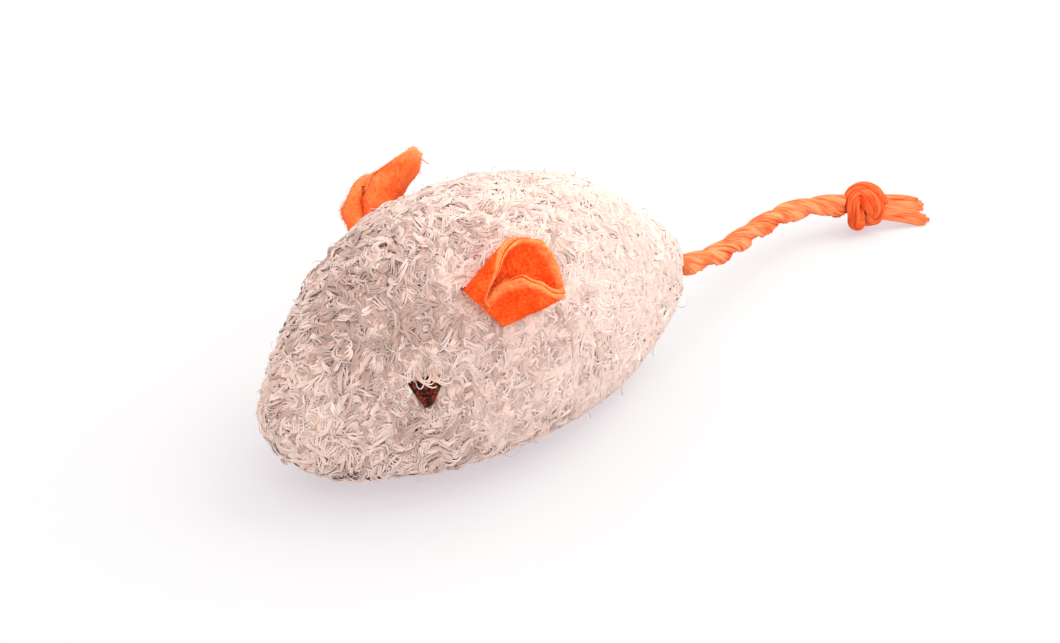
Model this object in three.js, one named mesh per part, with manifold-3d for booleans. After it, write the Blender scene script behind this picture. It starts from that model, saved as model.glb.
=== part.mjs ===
// A stuffed toy mouse. Two side panels and a belly panel of pile cloth are sewn round a fibre filling.
// It has folded felt ears, embroidered eyes and a tail of twisted paper cord that ends in a knot.
// Millimetres. +Z is up, +Y runs from the nose to the tail, and +X is the mouse's own left.
// The origin is under the middle of the body, on the surface that the belly lies on.
import * as THREE from 'three';
import { mergeVertices } from 'three/addons/utils/BufferGeometryUtils.js';
import Module from 'manifold-3d';

const wasm = await Module();
wasm.setup();

// Fits
const TOUCH_GAP = 0.3;
const OVERRUN = 4;
const MERGE_DISTANCE = 0.0001;

// Body
const BODY_LENGTH = 62;
const BODY_WIDTH = 31.5;
const BODY_HEIGHT = 32;
const NOSE_HEIGHT = 9.6;
const TAIL_HEIGHT = 11.5;
const BELLY_CUT = 0.5;
const STATION_SHARES = [0, 0.06, 0.16, 0.3, 0.45, 0.6, 0.75, 0.88, 1];
const HALF_WIDTH_SHARES = [0, 0.45, 0.71, 0.94, 1, 0.88, 0.63, 0.34, 0];
const TOP_SHARES = [0.53, 0.76, 0.94, 1, 0.98, 0.88, 0.68];
const LOW_SHARES = [0.1, 0.04, 0.01, 0, 0, 0.01, 0.09];
const WIDEST_SHARE = 0.4;
const LOW_POWER = 0.65;
const RING_COUNT = 24;
const RING_POINTS = 28;

// Pile: it stands in tufts, with hollows a step away from them
const TUFT_STEP = 2.7;
const HEAD_TUFT_DEPTH = 0.9;
const REAR_TUFT_DEPTH = 0.45;
const TUFT_EASE_SHARES = [0.3, 0.65];
const TUFT_DRIFT_SHARE = 0.8;
const TUFT_DRIFT_WAVES = [5, 6];
const PILE_END_SHARES = [0.2, 0.5];
const PILE_BELLY_SHARES = [0.6, 0.75];

// Cloth, filling and seams
const CLOTH_THICKNESS = 2.6;
const END_THICKNESS_SHARE = 1.3;
const BELLY_END_SETBACK = 8;
const BELLY_SIDE_SETBACK = 6.75;
const BELLY_PANEL_DEPTH = 10;
const THREAD_DIAMETER = 0.5;
const SEAM_DEPTH = 1.8;
const SEAM_END_SHARE = 0.1;
const SEAM_STEPS = 14;
const THREAD_SIDES = 5;

// Ears
const EAR_STATION_SHARE = 0.365;
const EAR_DEGREES = 53;
const EAR_SEAT_DEPTH = 1.6;
const EAR_SEAT_WIDTH = 5;
const LEFT_EAR_DIRECTION = [0.19, 0.83, 0.52];
const RIGHT_EAR_DIRECTION = [0.16, 0.72, 0.68];
const EAR_BASE_DIRECTION = [0.51, 0.52, -0.68];
const EAR_LENGTH = 10.6;
const EAR_BASE_WIDTH = 6.4;
const EAR_SPREAD_WIDTH = 8.8;
const EAR_FRONT_FLAP = 2.6;
const EAR_REAR_FLAP = 1.9;
const FELT_THICKNESS = 1.1;
const EAR_FOLD_RADIUS = 1;
const EAR_ROUND_SHARE = 0.93;
const EAR_BASE_FOLD_DEGREES = 158;
const EAR_TIP_FOLD_DEGREES = 37;
const EAR_BACK_SWING_DEGREES = -5;
const EAR_FRONT_SWING_DEGREES = 45;
const EAR_TRIM_SHARES = [0, 0.35, 0.7, 1];
const EAR_ROWS = 8;
const EAR_COLUMNS = 20;
const EAR_STITCH_DEPTH = 4;
const EAR_STITCH_HEIGHT = 0.9;
const EAR_STITCH_STEPS = 15;

// Eyes
const EYE_STATION_SHARE = 0.23;
const LEFT_EYE_DEGREES = 76;
const RIGHT_EYE_DEGREES = 66;
const EYE_WIDTH = 3.8;
const EYE_HEIGHT = 3.5;
const EYE_DEPTH = 1;
const EYE_CORNER_SHARE = 0.3;
const EYE_CORNER_PLACE_SHARES = [[-0.5, -0.5], [0.5, -0.5], [0, 0.5]];
const EYE_CORNER_STEPS = 3;
const EYE_SHANK_DIAMETER = 1;
const EYE_KNOT_DIAMETER = 2;

// Tail
const CORD_DIAMETER = 2.8;
const CORD_SIDES = 8;
const TAIL_SINK = 0.4;
const TAIL_ROUTE = [
  [0, 0, 0], [-0.5, 2.6, -0.6], [-1.2, 5.1, -1.2], [-2.2, 7.6, -1.8],
  [-3.3, 10, -2.4], [-4.6, 12.3, -2.9], [-5.8, 14.7, -3.4], [-7, 17.1, -3.9],
  [-8.2, 19.5, -4.3], [-9.3, 21.9, -4.8], [-10.3, 24.4, -5.2], [-11.2, 26.9, -5.6],
  [-11.8, 29.5, -6.1], [-12.2, 32.2, -6.6], [-12.1, 34.8, -7.1], [-11.3, 37.4, -7.5],
];
const TAIL_BASE_POINTS = 3;
const TAIL_SWING_DEGREES = 60;
const TAIL_STEPS = 8;
const TAIL_BASE_STEPS = 2;
const KNOT_LENGTH = 6.2;
const KNOT_WIDTH = 6.4;
const KNOT_LOOP_DIAMETER = 2.4;
const FRAY_LENGTH = 5.2;
const FRAY_WIDTH = 2.6;
const FRAY_THICKNESS = 1.3;
const FRAY_SPREAD_DEGREES = 8;
const FRAY_DROOP = 1.5;
const KNOT_TILT_SHARES = [-0.17, 0.06, 0.28];
const ANCHOR_LENGTH = 8;
const ANCHOR_KNOT_DIAMETER = 5.2;
const BINDING_DEPTH = 6.2;

// Colours
const PLUSH_COLOUR = '#dccabd';
const FELT_COLOUR = '#ff6a2c';
const PAPER_COLOUR = '#ff8d4b';
const THREAD_COLOUR = '#d8c6b8';
const EYE_COLOUR = '#3b1a10';
const FIBRE_COLOUR = '#f3f1ee';

// A smooth curve of one value over the body's length, through its stations.
function profile(values) {
  const angles = STATION_SHARES.map((share) => Math.acos(1 - 2 * share));
  const curve = new THREE.CubicInterpolant(angles, values, 1, [0]);
  return (angle) => curve.evaluate(angle)[0];
}

const halfWidths = HALF_WIDTH_SHARES.map((share) => share * BODY_WIDTH / 2);
const tops = TOP_SHARES.map((share) => share * BODY_HEIGHT);
const lows = LOW_SHARES.map((share) => share * BODY_HEIGHT - BELLY_CUT);
const halfWidthAt = profile(halfWidths);
const topAt = profile([NOSE_HEIGHT, ...tops, TAIL_HEIGHT]);
const lowAt = profile([NOSE_HEIGHT, ...lows, TAIL_HEIGHT]);

const stationAngle = (share) => Math.acos(1 - 2 * share);
const { degToRad } = THREE.MathUtils;

// A point of the body's surface. along runs from 0 at the nose to PI at the tail, and around from 0
// on the spine over the left side to PI under the belly. inset moves it inwards by that much.
function bodyPoint(along, around, inset = 0) {
  const low = lowAt(along);
  const top = topAt(along);
  const widest = low + (top - low) * WIDEST_SHARE;
  const rise = Math.cos(around);
  const height = rise < 0
    ? widest - (widest - low) * (-rise) ** LOW_POWER
    : widest + (top - widest) * rise;
  const shrinkX = 1 - 2 * inset / BODY_WIDTH;
  const shrinkY = 1 - 2 * inset * END_THICKNESS_SHARE / BODY_LENGTH;
  const shrinkZ = 1 - 2 * inset / BODY_HEIGHT;
  return new THREE.Vector3(
    halfWidthAt(along) * Math.sin(around) * shrinkX,
    -BODY_LENGTH / 2 * Math.cos(along) * shrinkY,
    BODY_HEIGHT / 2 + (height - BODY_HEIGHT / 2) * shrinkZ,
  );
}

const bellyHalfLength = BODY_LENGTH / 2 - BELLY_END_SETBACK;
const bellyHalfWidth = BODY_WIDTH / 2 - BELLY_SIDE_SETBACK;

// The directions at a point of the body: to the rear, down the side and outwards.
function bodyFrame(along, around) {
  const step = Math.PI / 180;
  const rear = bodyPoint(along + step, around).sub(bodyPoint(along - step, around)).normalize();
  const down = bodyPoint(along, around + step).sub(bodyPoint(along, around - step)).normalize();
  const out = new THREE.Vector3().crossVectors(rear, down).normalize();
  if (out.x < 0) out.negate();
  return { point: bodyPoint(along, around), rear, down, out };
}

// The matrix that sets a solid's own axes along three directions, at a point.
function placing(x, y, z, point) {
  return new THREE.Matrix4().makeBasis(x, y, z).setPosition(point);
}

// A triangle mesh of loose points, turned the right way out.
function closedGeometry(points, triangles) {
  let volume = 0;
  for (const [a, b, c] of triangles) {
    volume += points[a].dot(new THREE.Vector3().crossVectors(points[b], points[c]));
  }
  const faces = volume > 0 ? triangles : triangles.map(([a, b, c]) => [a, c, b]);
  const geometry = new THREE.BufferGeometry().setFromPoints(points);
  geometry.setIndex(faces.flat());
  return geometry;
}

// Rings of equal count joined into a skin, with a fan to a point at each end.
function loft(rings, start, end) {
  const count = rings[0].length;
  const points = [...rings.flat(), start, end];
  const startIndex = points.length - 2;
  const endIndex = points.length - 1;
  const lastRing = (rings.length - 1) * count;
  const triangles = [];
  for (let j = 0; j < count; j += 1) {
    const next = (j + 1) % count;
    triangles.push([startIndex, next, j]);
    triangles.push([endIndex, lastRing + j, lastRing + next]);
    for (let i = 0; i < rings.length - 1; i += 1) {
      const row = i * count;
      triangles.push([row + j, row + next, row + count + j]);
      triangles.push([row + next, row + count + next, row + count + j]);
    }
  }
  return closedGeometry(points, triangles);
}

function solidOf(geometry) {
  const plain = geometry.clone();
  plain.deleteAttribute('normal');
  plain.deleteAttribute('uv');
  const merged = mergeVertices(plain, MERGE_DISTANCE);
  const vertProperties = new Float32Array(merged.attributes.position.array);
  const triVerts = new Uint32Array(merged.index.array);
  return new wasm.Manifold(new wasm.Mesh({ numProp: 3, vertProperties, triVerts }));
}

function geometryOf(solid) {
  const mesh = solid.getMesh();
  const geometry = new THREE.BufferGeometry();
  geometry.setAttribute('position', new THREE.BufferAttribute(mesh.vertProperties, 3));
  geometry.setIndex(new THREE.BufferAttribute(mesh.triVerts, 1));
  geometry.computeVertexNormals();
  return geometry;
}

const subtractAll = (solid, cutters) => cutters.reduce((rest, cutter) => rest.subtract(cutter), solid);

// A box between its lowest and its highest corner.
function cornerBox(from, to) {
  const size = new THREE.Vector3().subVectors(to, from);
  const middle = new THREE.Vector3().addVectors(to, from).divideScalar(2);
  const box = new THREE.BoxGeometry(size.x, size.y, size.z);
  box.translate(middle.x, middle.y, middle.z);
  return solidOf(box);
}

const mirrorOver = (point) => new THREE.Vector3(-point.x, point.y, point.z);

// A round tube along a list of points.
function tube(points, diameter, sides, steps, tension = 0.5) {
  const outline = new THREE.Shape();
  for (let k = 0; k < sides; k += 1) {
    const turn = 2 * Math.PI * (k + 0.5) / sides;
    const x = diameter / 2 * Math.cos(turn);
    const y = diameter / 2 * Math.sin(turn);
    if (k === 0) outline.moveTo(x, y);
    else outline.lineTo(x, y);
  }
  const extrudePath = new THREE.CatmullRomCurve3(points, false, 'catmullrom', tension);
  return solidOf(new THREE.ExtrudeGeometry(outline, { steps, bevelEnabled: false, extrudePath }));
}

function ball(diameter, centre, sides = CORD_SIDES) {
  const sphere = new THREE.SphereGeometry(diameter / 2, sides, sides / 2 + 1);
  sphere.translate(centre.x, centre.y, centre.z);
  return solidOf(sphere);
}

// Body
function bodySolid(inset) {
  const rings = [];
  for (let i = 1; i < RING_COUNT; i += 1) {
    const ring = [];
    for (let j = 0; j < RING_POINTS; j += 1) {
      const around = 2 * Math.PI * j / RING_POINTS;
      const half = Math.min(around, 2 * Math.PI - around);
      const point = bodyPoint(Math.PI * i / RING_COUNT, half, inset);
      ring.push(around > Math.PI ? mirrorOver(point) : point);
    }
    rings.push(ring);
  }
  return solidOf(loft(rings, bodyPoint(0, 0, inset), bodyPoint(Math.PI, 0, inset)));
}

// The tufts and hollows are the corners of an even grid over the body.
const tuftRows = Math.round(Math.PI / 2 * BODY_LENGTH / TUFT_STEP);
const tuftColumns = 2 * Math.round(Math.PI / 4 * (BODY_WIDTH + BODY_HEIGHT) / TUFT_STEP);

// Where a corner of that grid lies, as the tufts drift a little over the body.
function driftedPlace(row, turn) {
  const rowDrift = TUFT_DRIFT_SHARE * Math.PI / tuftRows;
  const turnDrift = TUFT_DRIFT_SHARE * 2 * Math.PI / tuftColumns;
  const [rowWaves, turnWaves] = TUFT_DRIFT_WAVES;
  return [
    row + rowDrift * Math.sin(row) * Math.sin(rowWaves * turn),
    turn + turnDrift * Math.sin(turn) * Math.sin(turnWaves * row),
  ];
}

// The places on the body that ears and eyes are sewn to, and how far round them the pile lies flat.
const sewnPlaces = [
  [EAR_STATION_SHARE, EAR_DEGREES, EAR_BASE_WIDTH],
  [EYE_STATION_SHARE, LEFT_EYE_DEGREES, EYE_WIDTH],
  [EYE_STATION_SHARE, RIGHT_EYE_DEGREES, EYE_WIDTH],
].map(([share, degrees, clearing]) => [bodyPoint(stationAngle(share), degToRad(degrees)), clearing]);

// How deep the hollows are: less behind, where the pile lies combed, and none at the nose, the tail,
// the belly, the ears and the eyes.
function hollowDepth(along, around) {
  const { smoothstep } = THREE.MathUtils;
  const point = bodyPoint(along, around);
  const combed = smoothstep(along / Math.PI, ...TUFT_EASE_SHARES);
  const deepest = THREE.MathUtils.lerp(HEAD_TUFT_DEPTH, REAR_TUFT_DEPTH, combed);
  const ends = smoothstep(Math.sin(along), ...PILE_END_SHARES);
  const belly = 1 - smoothstep(around / Math.PI, ...PILE_BELLY_SHARES);
  const sewn = sewnPlaces.map(([centre, clearing]) => (
    smoothstep(point.distanceTo(centre), clearing, clearing + TUFT_STEP)
  ));
  return deepest * ends * belly * Math.min(...sewn);
}

// The outside of the pile, where every other corner of the grid is a hollow.
function pileSolid() {
  const rings = [];
  for (let i = 1; i < tuftRows; i += 1) {
    const ring = [];
    for (let j = 0; j < tuftColumns; j += 1) {
      const turn = 2 * Math.PI * j / tuftColumns;
      const half = Math.min(turn, 2 * Math.PI - turn);
      const [along, around] = driftedPlace(Math.PI * i / tuftRows, half);
      const depth = (i + j) % 2 * hollowDepth(along, around);
      const point = bodyPoint(along, around, depth);
      ring.push(turn > Math.PI ? mirrorOver(point) : point);
    }
    rings.push(ring);
  }
  return solidOf(loft(rings, bodyPoint(0, 0), bodyPoint(Math.PI, 0)));
}

// The corners of a box that holds the whole body with some to spare
const high = new THREE.Vector3(BODY_WIDTH, BODY_LENGTH, BODY_HEIGHT * 2)
  .multiplyScalar(1 / 2)
  .addScalar(OVERRUN);
const low = new THREE.Vector3(-high.x, -high.y, -OVERRUN);

function halfSpace(side, gap) {
  return side > 0
    ? cornerBox(new THREE.Vector3(gap, low.y, low.z), high)
    : cornerBox(low, new THREE.Vector3(-gap, high.y, high.z));
}

// The leaf outline of the belly panel as an upright prism.
function bellyPrism(growth) {
  const outline = new THREE.Shape();
  outline.absellipse(0, 0, bellyHalfWidth + growth, bellyHalfLength + growth, 0, 2 * Math.PI);
  const depth = OVERRUN + BELLY_PANEL_DEPTH + growth;
  const prism = new THREE.ExtrudeGeometry(outline, {
    depth, bevelEnabled: false, curveSegments: RING_COUNT,
  });
  prism.translate(0, 0, -OVERRUN);
  return solidOf(prism);
}

// The belly seam's line inside the cloth, over a place on the belly.
function bellyLine(x, y) {
  const shrinkX = 1 - 2 * SEAM_DEPTH / BODY_WIDTH;
  const shrinkY = 1 - 2 * SEAM_DEPTH * END_THICKNESS_SHARE / BODY_LENGTH;
  const along = Math.acos(-y / shrinkY / (BODY_LENGTH / 2));
  const around = Math.PI - Math.asin(Math.abs(x) / shrinkX / halfWidthAt(along));
  const point = bodyPoint(along, around, SEAM_DEPTH);
  return x < 0 ? mirrorOver(point) : point;
}

// Seam threads: each lies in its seam, in a groove of both cloth edges
const chinAngle = Math.acos((bellyHalfLength + SEAM_DEPTH) / (BODY_LENGTH / 2));

function bellySeam(side, growth) {
  const points = [];
  for (let i = 0; i <= SEAM_STEPS; i += 1) {
    const turn = Math.PI * (SEAM_END_SHARE + (1 - 2 * SEAM_END_SHARE) * i / SEAM_STEPS);
    const x = (bellyHalfWidth + TOUCH_GAP / 2) * Math.sin(turn);
    const y = (bellyHalfLength + TOUCH_GAP / 2) * Math.cos(turn);
    points.push(bellyLine(side * x, -y));
  }
  return tube(points, THREAD_DIAMETER + 2 * growth, THREAD_SIDES, SEAM_STEPS);
}

// The seam over the spine starts under the chin, turns round the nose and ends above the tail.
function spineSeam(growth) {
  const rump = Math.PI * (1 - SEAM_END_SHARE);
  const points = [];
  for (let i = 2; i > 0; i -= 1) points.push(bodyPoint(chinAngle * i / 2, Math.PI, SEAM_DEPTH));
  for (let i = 0; i <= SEAM_STEPS; i += 1) points.push(bodyPoint(rump * i / SEAM_STEPS, 0, SEAM_DEPTH));
  return tube(points, THREAD_DIAMETER + 2 * growth, THREAD_SIDES, 2 * SEAM_STEPS);
}

// The closing seam runs from the belly panel up to the tail.
function rumpSeam(growth) {
  const points = [1 - SEAM_END_SHARE, 1 - SEAM_END_SHARE * 3 / 2, 1 - chinAngle / Math.PI]
    .map((share) => bodyPoint(Math.PI * share, Math.PI, SEAM_DEPTH));
  return tube(points, THREAD_DIAMETER + 2 * growth, THREAD_SIDES, THREAD_SIDES);
}

// Eyes: a three-cornered pad of satin stitches, its thread through the cloth and the knot inside
function eyeOutline(growth) {
  const width = EYE_WIDTH + 2 * growth;
  const height = EYE_HEIGHT + 2 * growth;
  const corners = EYE_CORNER_PLACE_SHARES.map(([x, y]) => new THREE.Vector2(x * width, y * height));
  const outline = new THREE.Shape();
  corners.forEach((corner, k) => {
    const before = corners.at(k - 1);
    const after = corners[(k + 1) % corners.length];
    const from = corner.clone().lerp(before, EYE_CORNER_SHARE);
    const to = corner.clone().lerp(after, EYE_CORNER_SHARE);
    if (k === 0) outline.moveTo(from.x, from.y);
    else outline.lineTo(from.x, from.y);
    outline.quadraticCurveTo(corner.x, corner.y, to.x, to.y);
  });
  return outline;
}

function eyeSolid(side, growth) {
  const around = degToRad(side > 0 ? LEFT_EYE_DEGREES : RIGHT_EYE_DEGREES);
  const { point, down, out } = bodyFrame(stationAngle(EYE_STATION_SHARE), around);
  const depth = EYE_DEPTH + 2 * growth;
  const pad = new THREE.ExtrudeGeometry(eyeOutline(growth), {
    depth, bevelEnabled: false, curveSegments: EYE_CORNER_STEPS,
  });
  pad.translate(0, 0, -EYE_DEPTH - growth);
  const across = new THREE.Vector3().crossVectors(down, out).normalize();
  const place = placing(across, down, out, point);
  const knot = point.clone().addScaledVector(out, -CLOTH_THICKNESS - EYE_KNOT_DIAMETER);
  const shankTop = point.clone().addScaledVector(out, -EYE_DEPTH / 2);
  const shank = tube([shankTop, knot], EYE_SHANK_DIAMETER + 2 * growth, THREAD_SIDES, 1);
  const whole = solidOf(pad.applyMatrix4(place))
    .add(shank)
    .add(ball(EYE_KNOT_DIAMETER + 2 * growth, knot));
  return side > 0 ? whole : whole.mirror([1, 0, 0]);
}

// Ears: a round-ended leaf of felt with both sides folded in. The right ear and its stitch are
// worked out as if on the left, and mirrored.
function earPlacing(direction) {
  const frame = bodyFrame(stationAngle(EAR_STATION_SHARE), degToRad(EAR_DEGREES));
  const rise = new THREE.Vector3(...direction).normalize();
  const base = new THREE.Vector3(...EAR_BASE_DIRECTION);
  const cup = new THREE.Vector3().crossVectors(base, rise).normalize();
  const across = new THREE.Vector3().crossVectors(rise, cup).normalize();
  const pivot = frame.point.clone()
    .addScaledVector(frame.out, TOUCH_GAP + FELT_THICKNESS / 2 - EAR_SEAT_DEPTH)
    .addScaledVector(cup, EAR_FOLD_RADIUS);
  return { ...frame, rise, cup, across, pivot };
}

const leftEar = earPlacing(LEFT_EAR_DIRECTION);
const rightEar = earPlacing(RIGHT_EAR_DIRECTION);

// The folded section at one height: how far across and how far into the cup a place on the flat
// leaf lies. The leaf turns through the fold angle on an arc beside its flat middle.
function foldedPlace(offset, height) {
  const share = height / EAR_LENGTH;
  const flatHalf = THREE.MathUtils.lerp(EAR_BASE_WIDTH, EAR_SPREAD_WIDTH, share) / 2 - EAR_FOLD_RADIUS;
  const angle = degToRad(THREE.MathUtils.lerp(EAR_BASE_FOLD_DEGREES, EAR_TIP_FOLD_DEGREES, share));
  const distance = Math.abs(offset);
  const arc = Math.min(Math.max(distance - flatHalf, 0) / EAR_FOLD_RADIUS, angle);
  const flap = Math.max(distance - flatHalf - angle * EAR_FOLD_RADIUS, 0);
  const across = Math.min(distance, flatHalf) + EAR_FOLD_RADIUS * Math.sin(arc) + flap * Math.cos(angle);
  const cup = EAR_FOLD_RADIUS * (1 - Math.cos(arc)) + flap * Math.sin(angle);
  return new THREE.Vector2(Math.sign(offset) * across, cup);
}

function earLeafPoint(placed, row, column) {
  const share = 2 * column / EAR_COLUMNS - 1;
  const flap = share < 0 ? EAR_FRONT_FLAP : EAR_REAR_FLAP;
  const arc = degToRad(EAR_BASE_FOLD_DEGREES) * EAR_FOLD_RADIUS;
  const halfWidth = EAR_BASE_WIDTH / 2 - EAR_FOLD_RADIUS + arc + flap;
  const height = EAR_LENGTH * row / EAR_ROWS * Math.sqrt(1 - (EAR_ROUND_SHARE * share) ** 2);
  const place = foldedPlace(share * halfWidth, height);
  return placed.pivot.clone()
    .addScaledVector(placed.rise, height)
    .addScaledVector(placed.across, place.x)
    .addScaledVector(placed.cup, place.y - EAR_FOLD_RADIUS);
}

// A sheet of a given thickness about a grid of points.
function sheetSolid(pointAt, rows, columns, thickness) {
  const points = [];
  for (const face of [1, -1]) {
    for (let i = 0; i <= rows; i += 1) {
      for (let j = 0; j <= columns; j += 1) {
        const alongRow = pointAt(i, Math.min(j + 1, columns)).sub(pointAt(i, Math.max(j - 1, 0)));
        const alongColumn = pointAt(Math.min(i + 1, rows), j).sub(pointAt(Math.max(i - 1, 0), j));
        const normal = new THREE.Vector3().crossVectors(alongRow, alongColumn).normalize();
        points.push(pointAt(i, j).addScaledVector(normal, face * thickness / 2));
      }
    }
  }
  const width = columns + 1;
  const layer = (rows + 1) * width;
  const triangles = [];
  const quad = (a, b, c, d) => triangles.push([a, b, c], [a, c, d]);
  for (let i = 0; i < rows; i += 1) {
    for (let j = 0; j < columns; j += 1) {
      const k = i * width + j;
      quad(k, k + 1, k + 1 + width, k + width);
      quad(layer + k, layer + k + width, layer + k + 1 + width, layer + k + 1);
    }
    const left = i * width;
    const right = left + columns;
    quad(left, left + width, layer + left + width, layer + left);
    quad(right, layer + right, layer + right + width, right + width);
  }
  for (let j = 0; j < columns; j += 1) {
    const far = rows * width + j;
    quad(j, layer + j, layer + j + 1, j + 1);
    quad(far, far + 1, layer + far + 1, layer + far);
  }
  return solidOf(closedGeometry(points, triangles));
}

// A solid turned about the ear's base line, or about another axis through a point.
function turned(solid, axis, centre, degrees) {
  const turn = new THREE.Matrix4().makeRotationAxis(axis, degToRad(degrees));
  const to = new THREE.Matrix4().makeTranslation(centre.x, centre.y, centre.z);
  const from = new THREE.Matrix4().makeTranslation(-centre.x, -centre.y, -centre.z);
  return solid.transform(to.multiply(turn).multiply(from).toArray());
}

// The pile is parted where an ear is sewn to the ground cloth.
function earSeat(placed, growth) {
  const { point, out, across, cup } = placed;
  const lengthways = across.clone().addScaledVector(out, -across.dot(out)).normalize();
  const sideways = new THREE.Vector3().crossVectors(out, lengthways);
  const length = EAR_BASE_WIDTH + FELT_THICKNESS + 2 * TOUCH_GAP + 2 * growth;
  const depth = EAR_SEAT_DEPTH + OVERRUN + growth;
  const box = new THREE.BoxGeometry(length, EAR_SEAT_WIDTH + 2 * growth, depth);
  box.translate(0, 0, OVERRUN - depth / 2);
  const centre = point.clone().addScaledVector(cup, EAR_FOLD_RADIUS / 2);
  return solidOf(box.applyMatrix4(placing(lengthways, sideways, out, centre)));
}

// An ear is trimmed clear of the body at both ends of its swing and at steps between them.
function earSolid(placed) {
  const { across, pivot } = placed;
  const body = bodySolid(-TOUCH_GAP).subtract(earSeat(placed, -TOUCH_GAP));
  const pointAt = (row, column) => earLeafPoint(placed, row, column);
  const leaf = sheetSolid(pointAt, EAR_ROWS, EAR_COLUMNS, FELT_THICKNESS);
  return [EAR_BACK_SWING_DEGREES, ...EAR_TRIM_SHARES.map((share) => share * EAR_FRONT_SWING_DEGREES)]
    .reduce((rest, degrees) => rest.subtract(turned(body, across, pivot, -degrees)), leaf);
}

// The ear's stitch comes up beside both corners of its base and runs under the cloth between them.
function earStitch(placed, growth) {
  const { point, out, across } = placed;
  const half = EAR_BASE_WIDTH / 2 + FELT_THICKNESS / 2 + TOUCH_GAP + THREAD_DIAMETER;
  const route = [
    [-half, EAR_STITCH_HEIGHT], [-half, -EAR_STITCH_DEPTH / 2],
    [-half / 2, -EAR_STITCH_DEPTH], [half / 2, -EAR_STITCH_DEPTH],
    [half, -EAR_STITCH_DEPTH / 2], [half, EAR_STITCH_HEIGHT],
  ];
  const points = route.map(([sideways, height]) => point.clone()
    .addScaledVector(across, sideways)
    .addScaledVector(out, height));
  return tube(points, THREAD_DIAMETER + 2 * growth, THREAD_SIDES, EAR_STITCH_STEPS);
}

// Tail
const tailExit = new THREE.Vector3(0, BODY_LENGTH / 2 - TAIL_SINK, TAIL_HEIGHT);
const tailRoute = TAIL_ROUTE.map(([x, y, z]) => new THREE.Vector3(x, y, z).add(tailExit));
const tailBend = tailRoute[TAIL_BASE_POINTS];
const tailEnd = tailRoute[tailRoute.length - 1];
const tailEndDirection = tailEnd.clone().sub(tailRoute[tailRoute.length - 2]).normalize();
const up = new THREE.Vector3(0, 0, 1);

// The cord's first stretch swings sideways on a round end in the seam.
function tailBase(growth) {
  const stop = tailBend.clone().sub(tailRoute[TAIL_BASE_POINTS - 1]).normalize();
  const last = tailBend.clone().addScaledVector(stop, -CORD_DIAMETER / 2 - TOUCH_GAP);
  const points = [...tailRoute.slice(0, TAIL_BASE_POINTS), last];
  const diameter = CORD_DIAMETER + 2 * growth;
  return tube(points, diameter, CORD_SIDES, TAIL_BASE_STEPS).add(ball(diameter, tailExit));
}

function tailCord() {
  const cord = tube(tailRoute.slice(TAIL_BASE_POINTS), CORD_DIAMETER, CORD_SIDES, TAIL_STEPS);
  return cord.add(ball(CORD_DIAMETER, tailBend));
}

const tailSwing = () => [-1, -0.5, 0, 0.5, 1]
  .map((share) => turned(tailBase(TOUCH_GAP), up, tailExit, share * TAIL_SWING_DEGREES));

// Inside the body the cord goes on to a knot that can't be pulled out through the seam.
function tailAnchor(growth) {
  const start = tailExit.clone().add(new THREE.Vector3(0, -CORD_DIAMETER / 2 - TOUCH_GAP + growth, 0));
  const knot = tailExit.clone().add(new THREE.Vector3(0, -ANCHOR_LENGTH - ANCHOR_KNOT_DIAMETER / 2, 0));
  return tube([start, knot], CORD_DIAMETER + 2 * growth, CORD_SIDES, 1)
    .add(ball(ANCHOR_KNOT_DIAMETER + 2 * growth, knot));
}

function tailBinding(growth) {
  const radius = CORD_DIAMETER / 2 + TOUCH_GAP + THREAD_DIAMETER / 2;
  const threadRadius = THREAD_DIAMETER / 2 + growth;
  const ring = new THREE.TorusGeometry(radius, threadRadius, THREAD_SIDES, 2 * CORD_SIDES);
  ring.rotateX(Math.PI / 2);
  ring.translate(tailExit.x, tailExit.y - BINDING_DEPTH, tailExit.z);
  return solidOf(ring);
}

// The knot is a round lump with the cord's three turns standing out of it.
const knotCentre = tailEnd.clone().addScaledVector(tailEndDirection, KNOT_LENGTH / 2 + TOUCH_GAP);

function tailKnot() {
  const core = new THREE.SphereGeometry(1, 2 * CORD_SIDES, CORD_SIDES);
  const radius = KNOT_WIDTH / 2 - KNOT_LOOP_DIAMETER / 2;
  core.scale(radius, KNOT_LENGTH / 2, radius);
  const turns = KNOT_TILT_SHARES.map((share) => {
    const loop = new THREE.TorusGeometry(radius, KNOT_LOOP_DIAMETER / 2, CORD_SIDES, 2 * CORD_SIDES);
    loop.rotateX(Math.PI / 2 + Math.PI * share);
    loop.rotateY(2 * Math.PI * share);
    return solidOf(loop);
  });
  const whole = turns.reduce((rest, turn) => rest.add(turn), solidOf(core));
  const slice = cornerBox(
    new THREE.Vector3(-KNOT_WIDTH, -KNOT_LENGTH / 2, -knotCentre.z),
    new THREE.Vector3(KNOT_WIDTH, KNOT_LENGTH / 2, KNOT_WIDTH),
  );
  const turn = new THREE.Matrix4().makeRotationZ(-Math.atan2(tailEndDirection.x, tailEndDirection.y));
  const place = new THREE.Matrix4().makeTranslation(knotCentre.x, knotCentre.y, knotCentre.z);
  return whole.intersect(slice).transform(place.multiply(turn).toArray());
}

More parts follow.
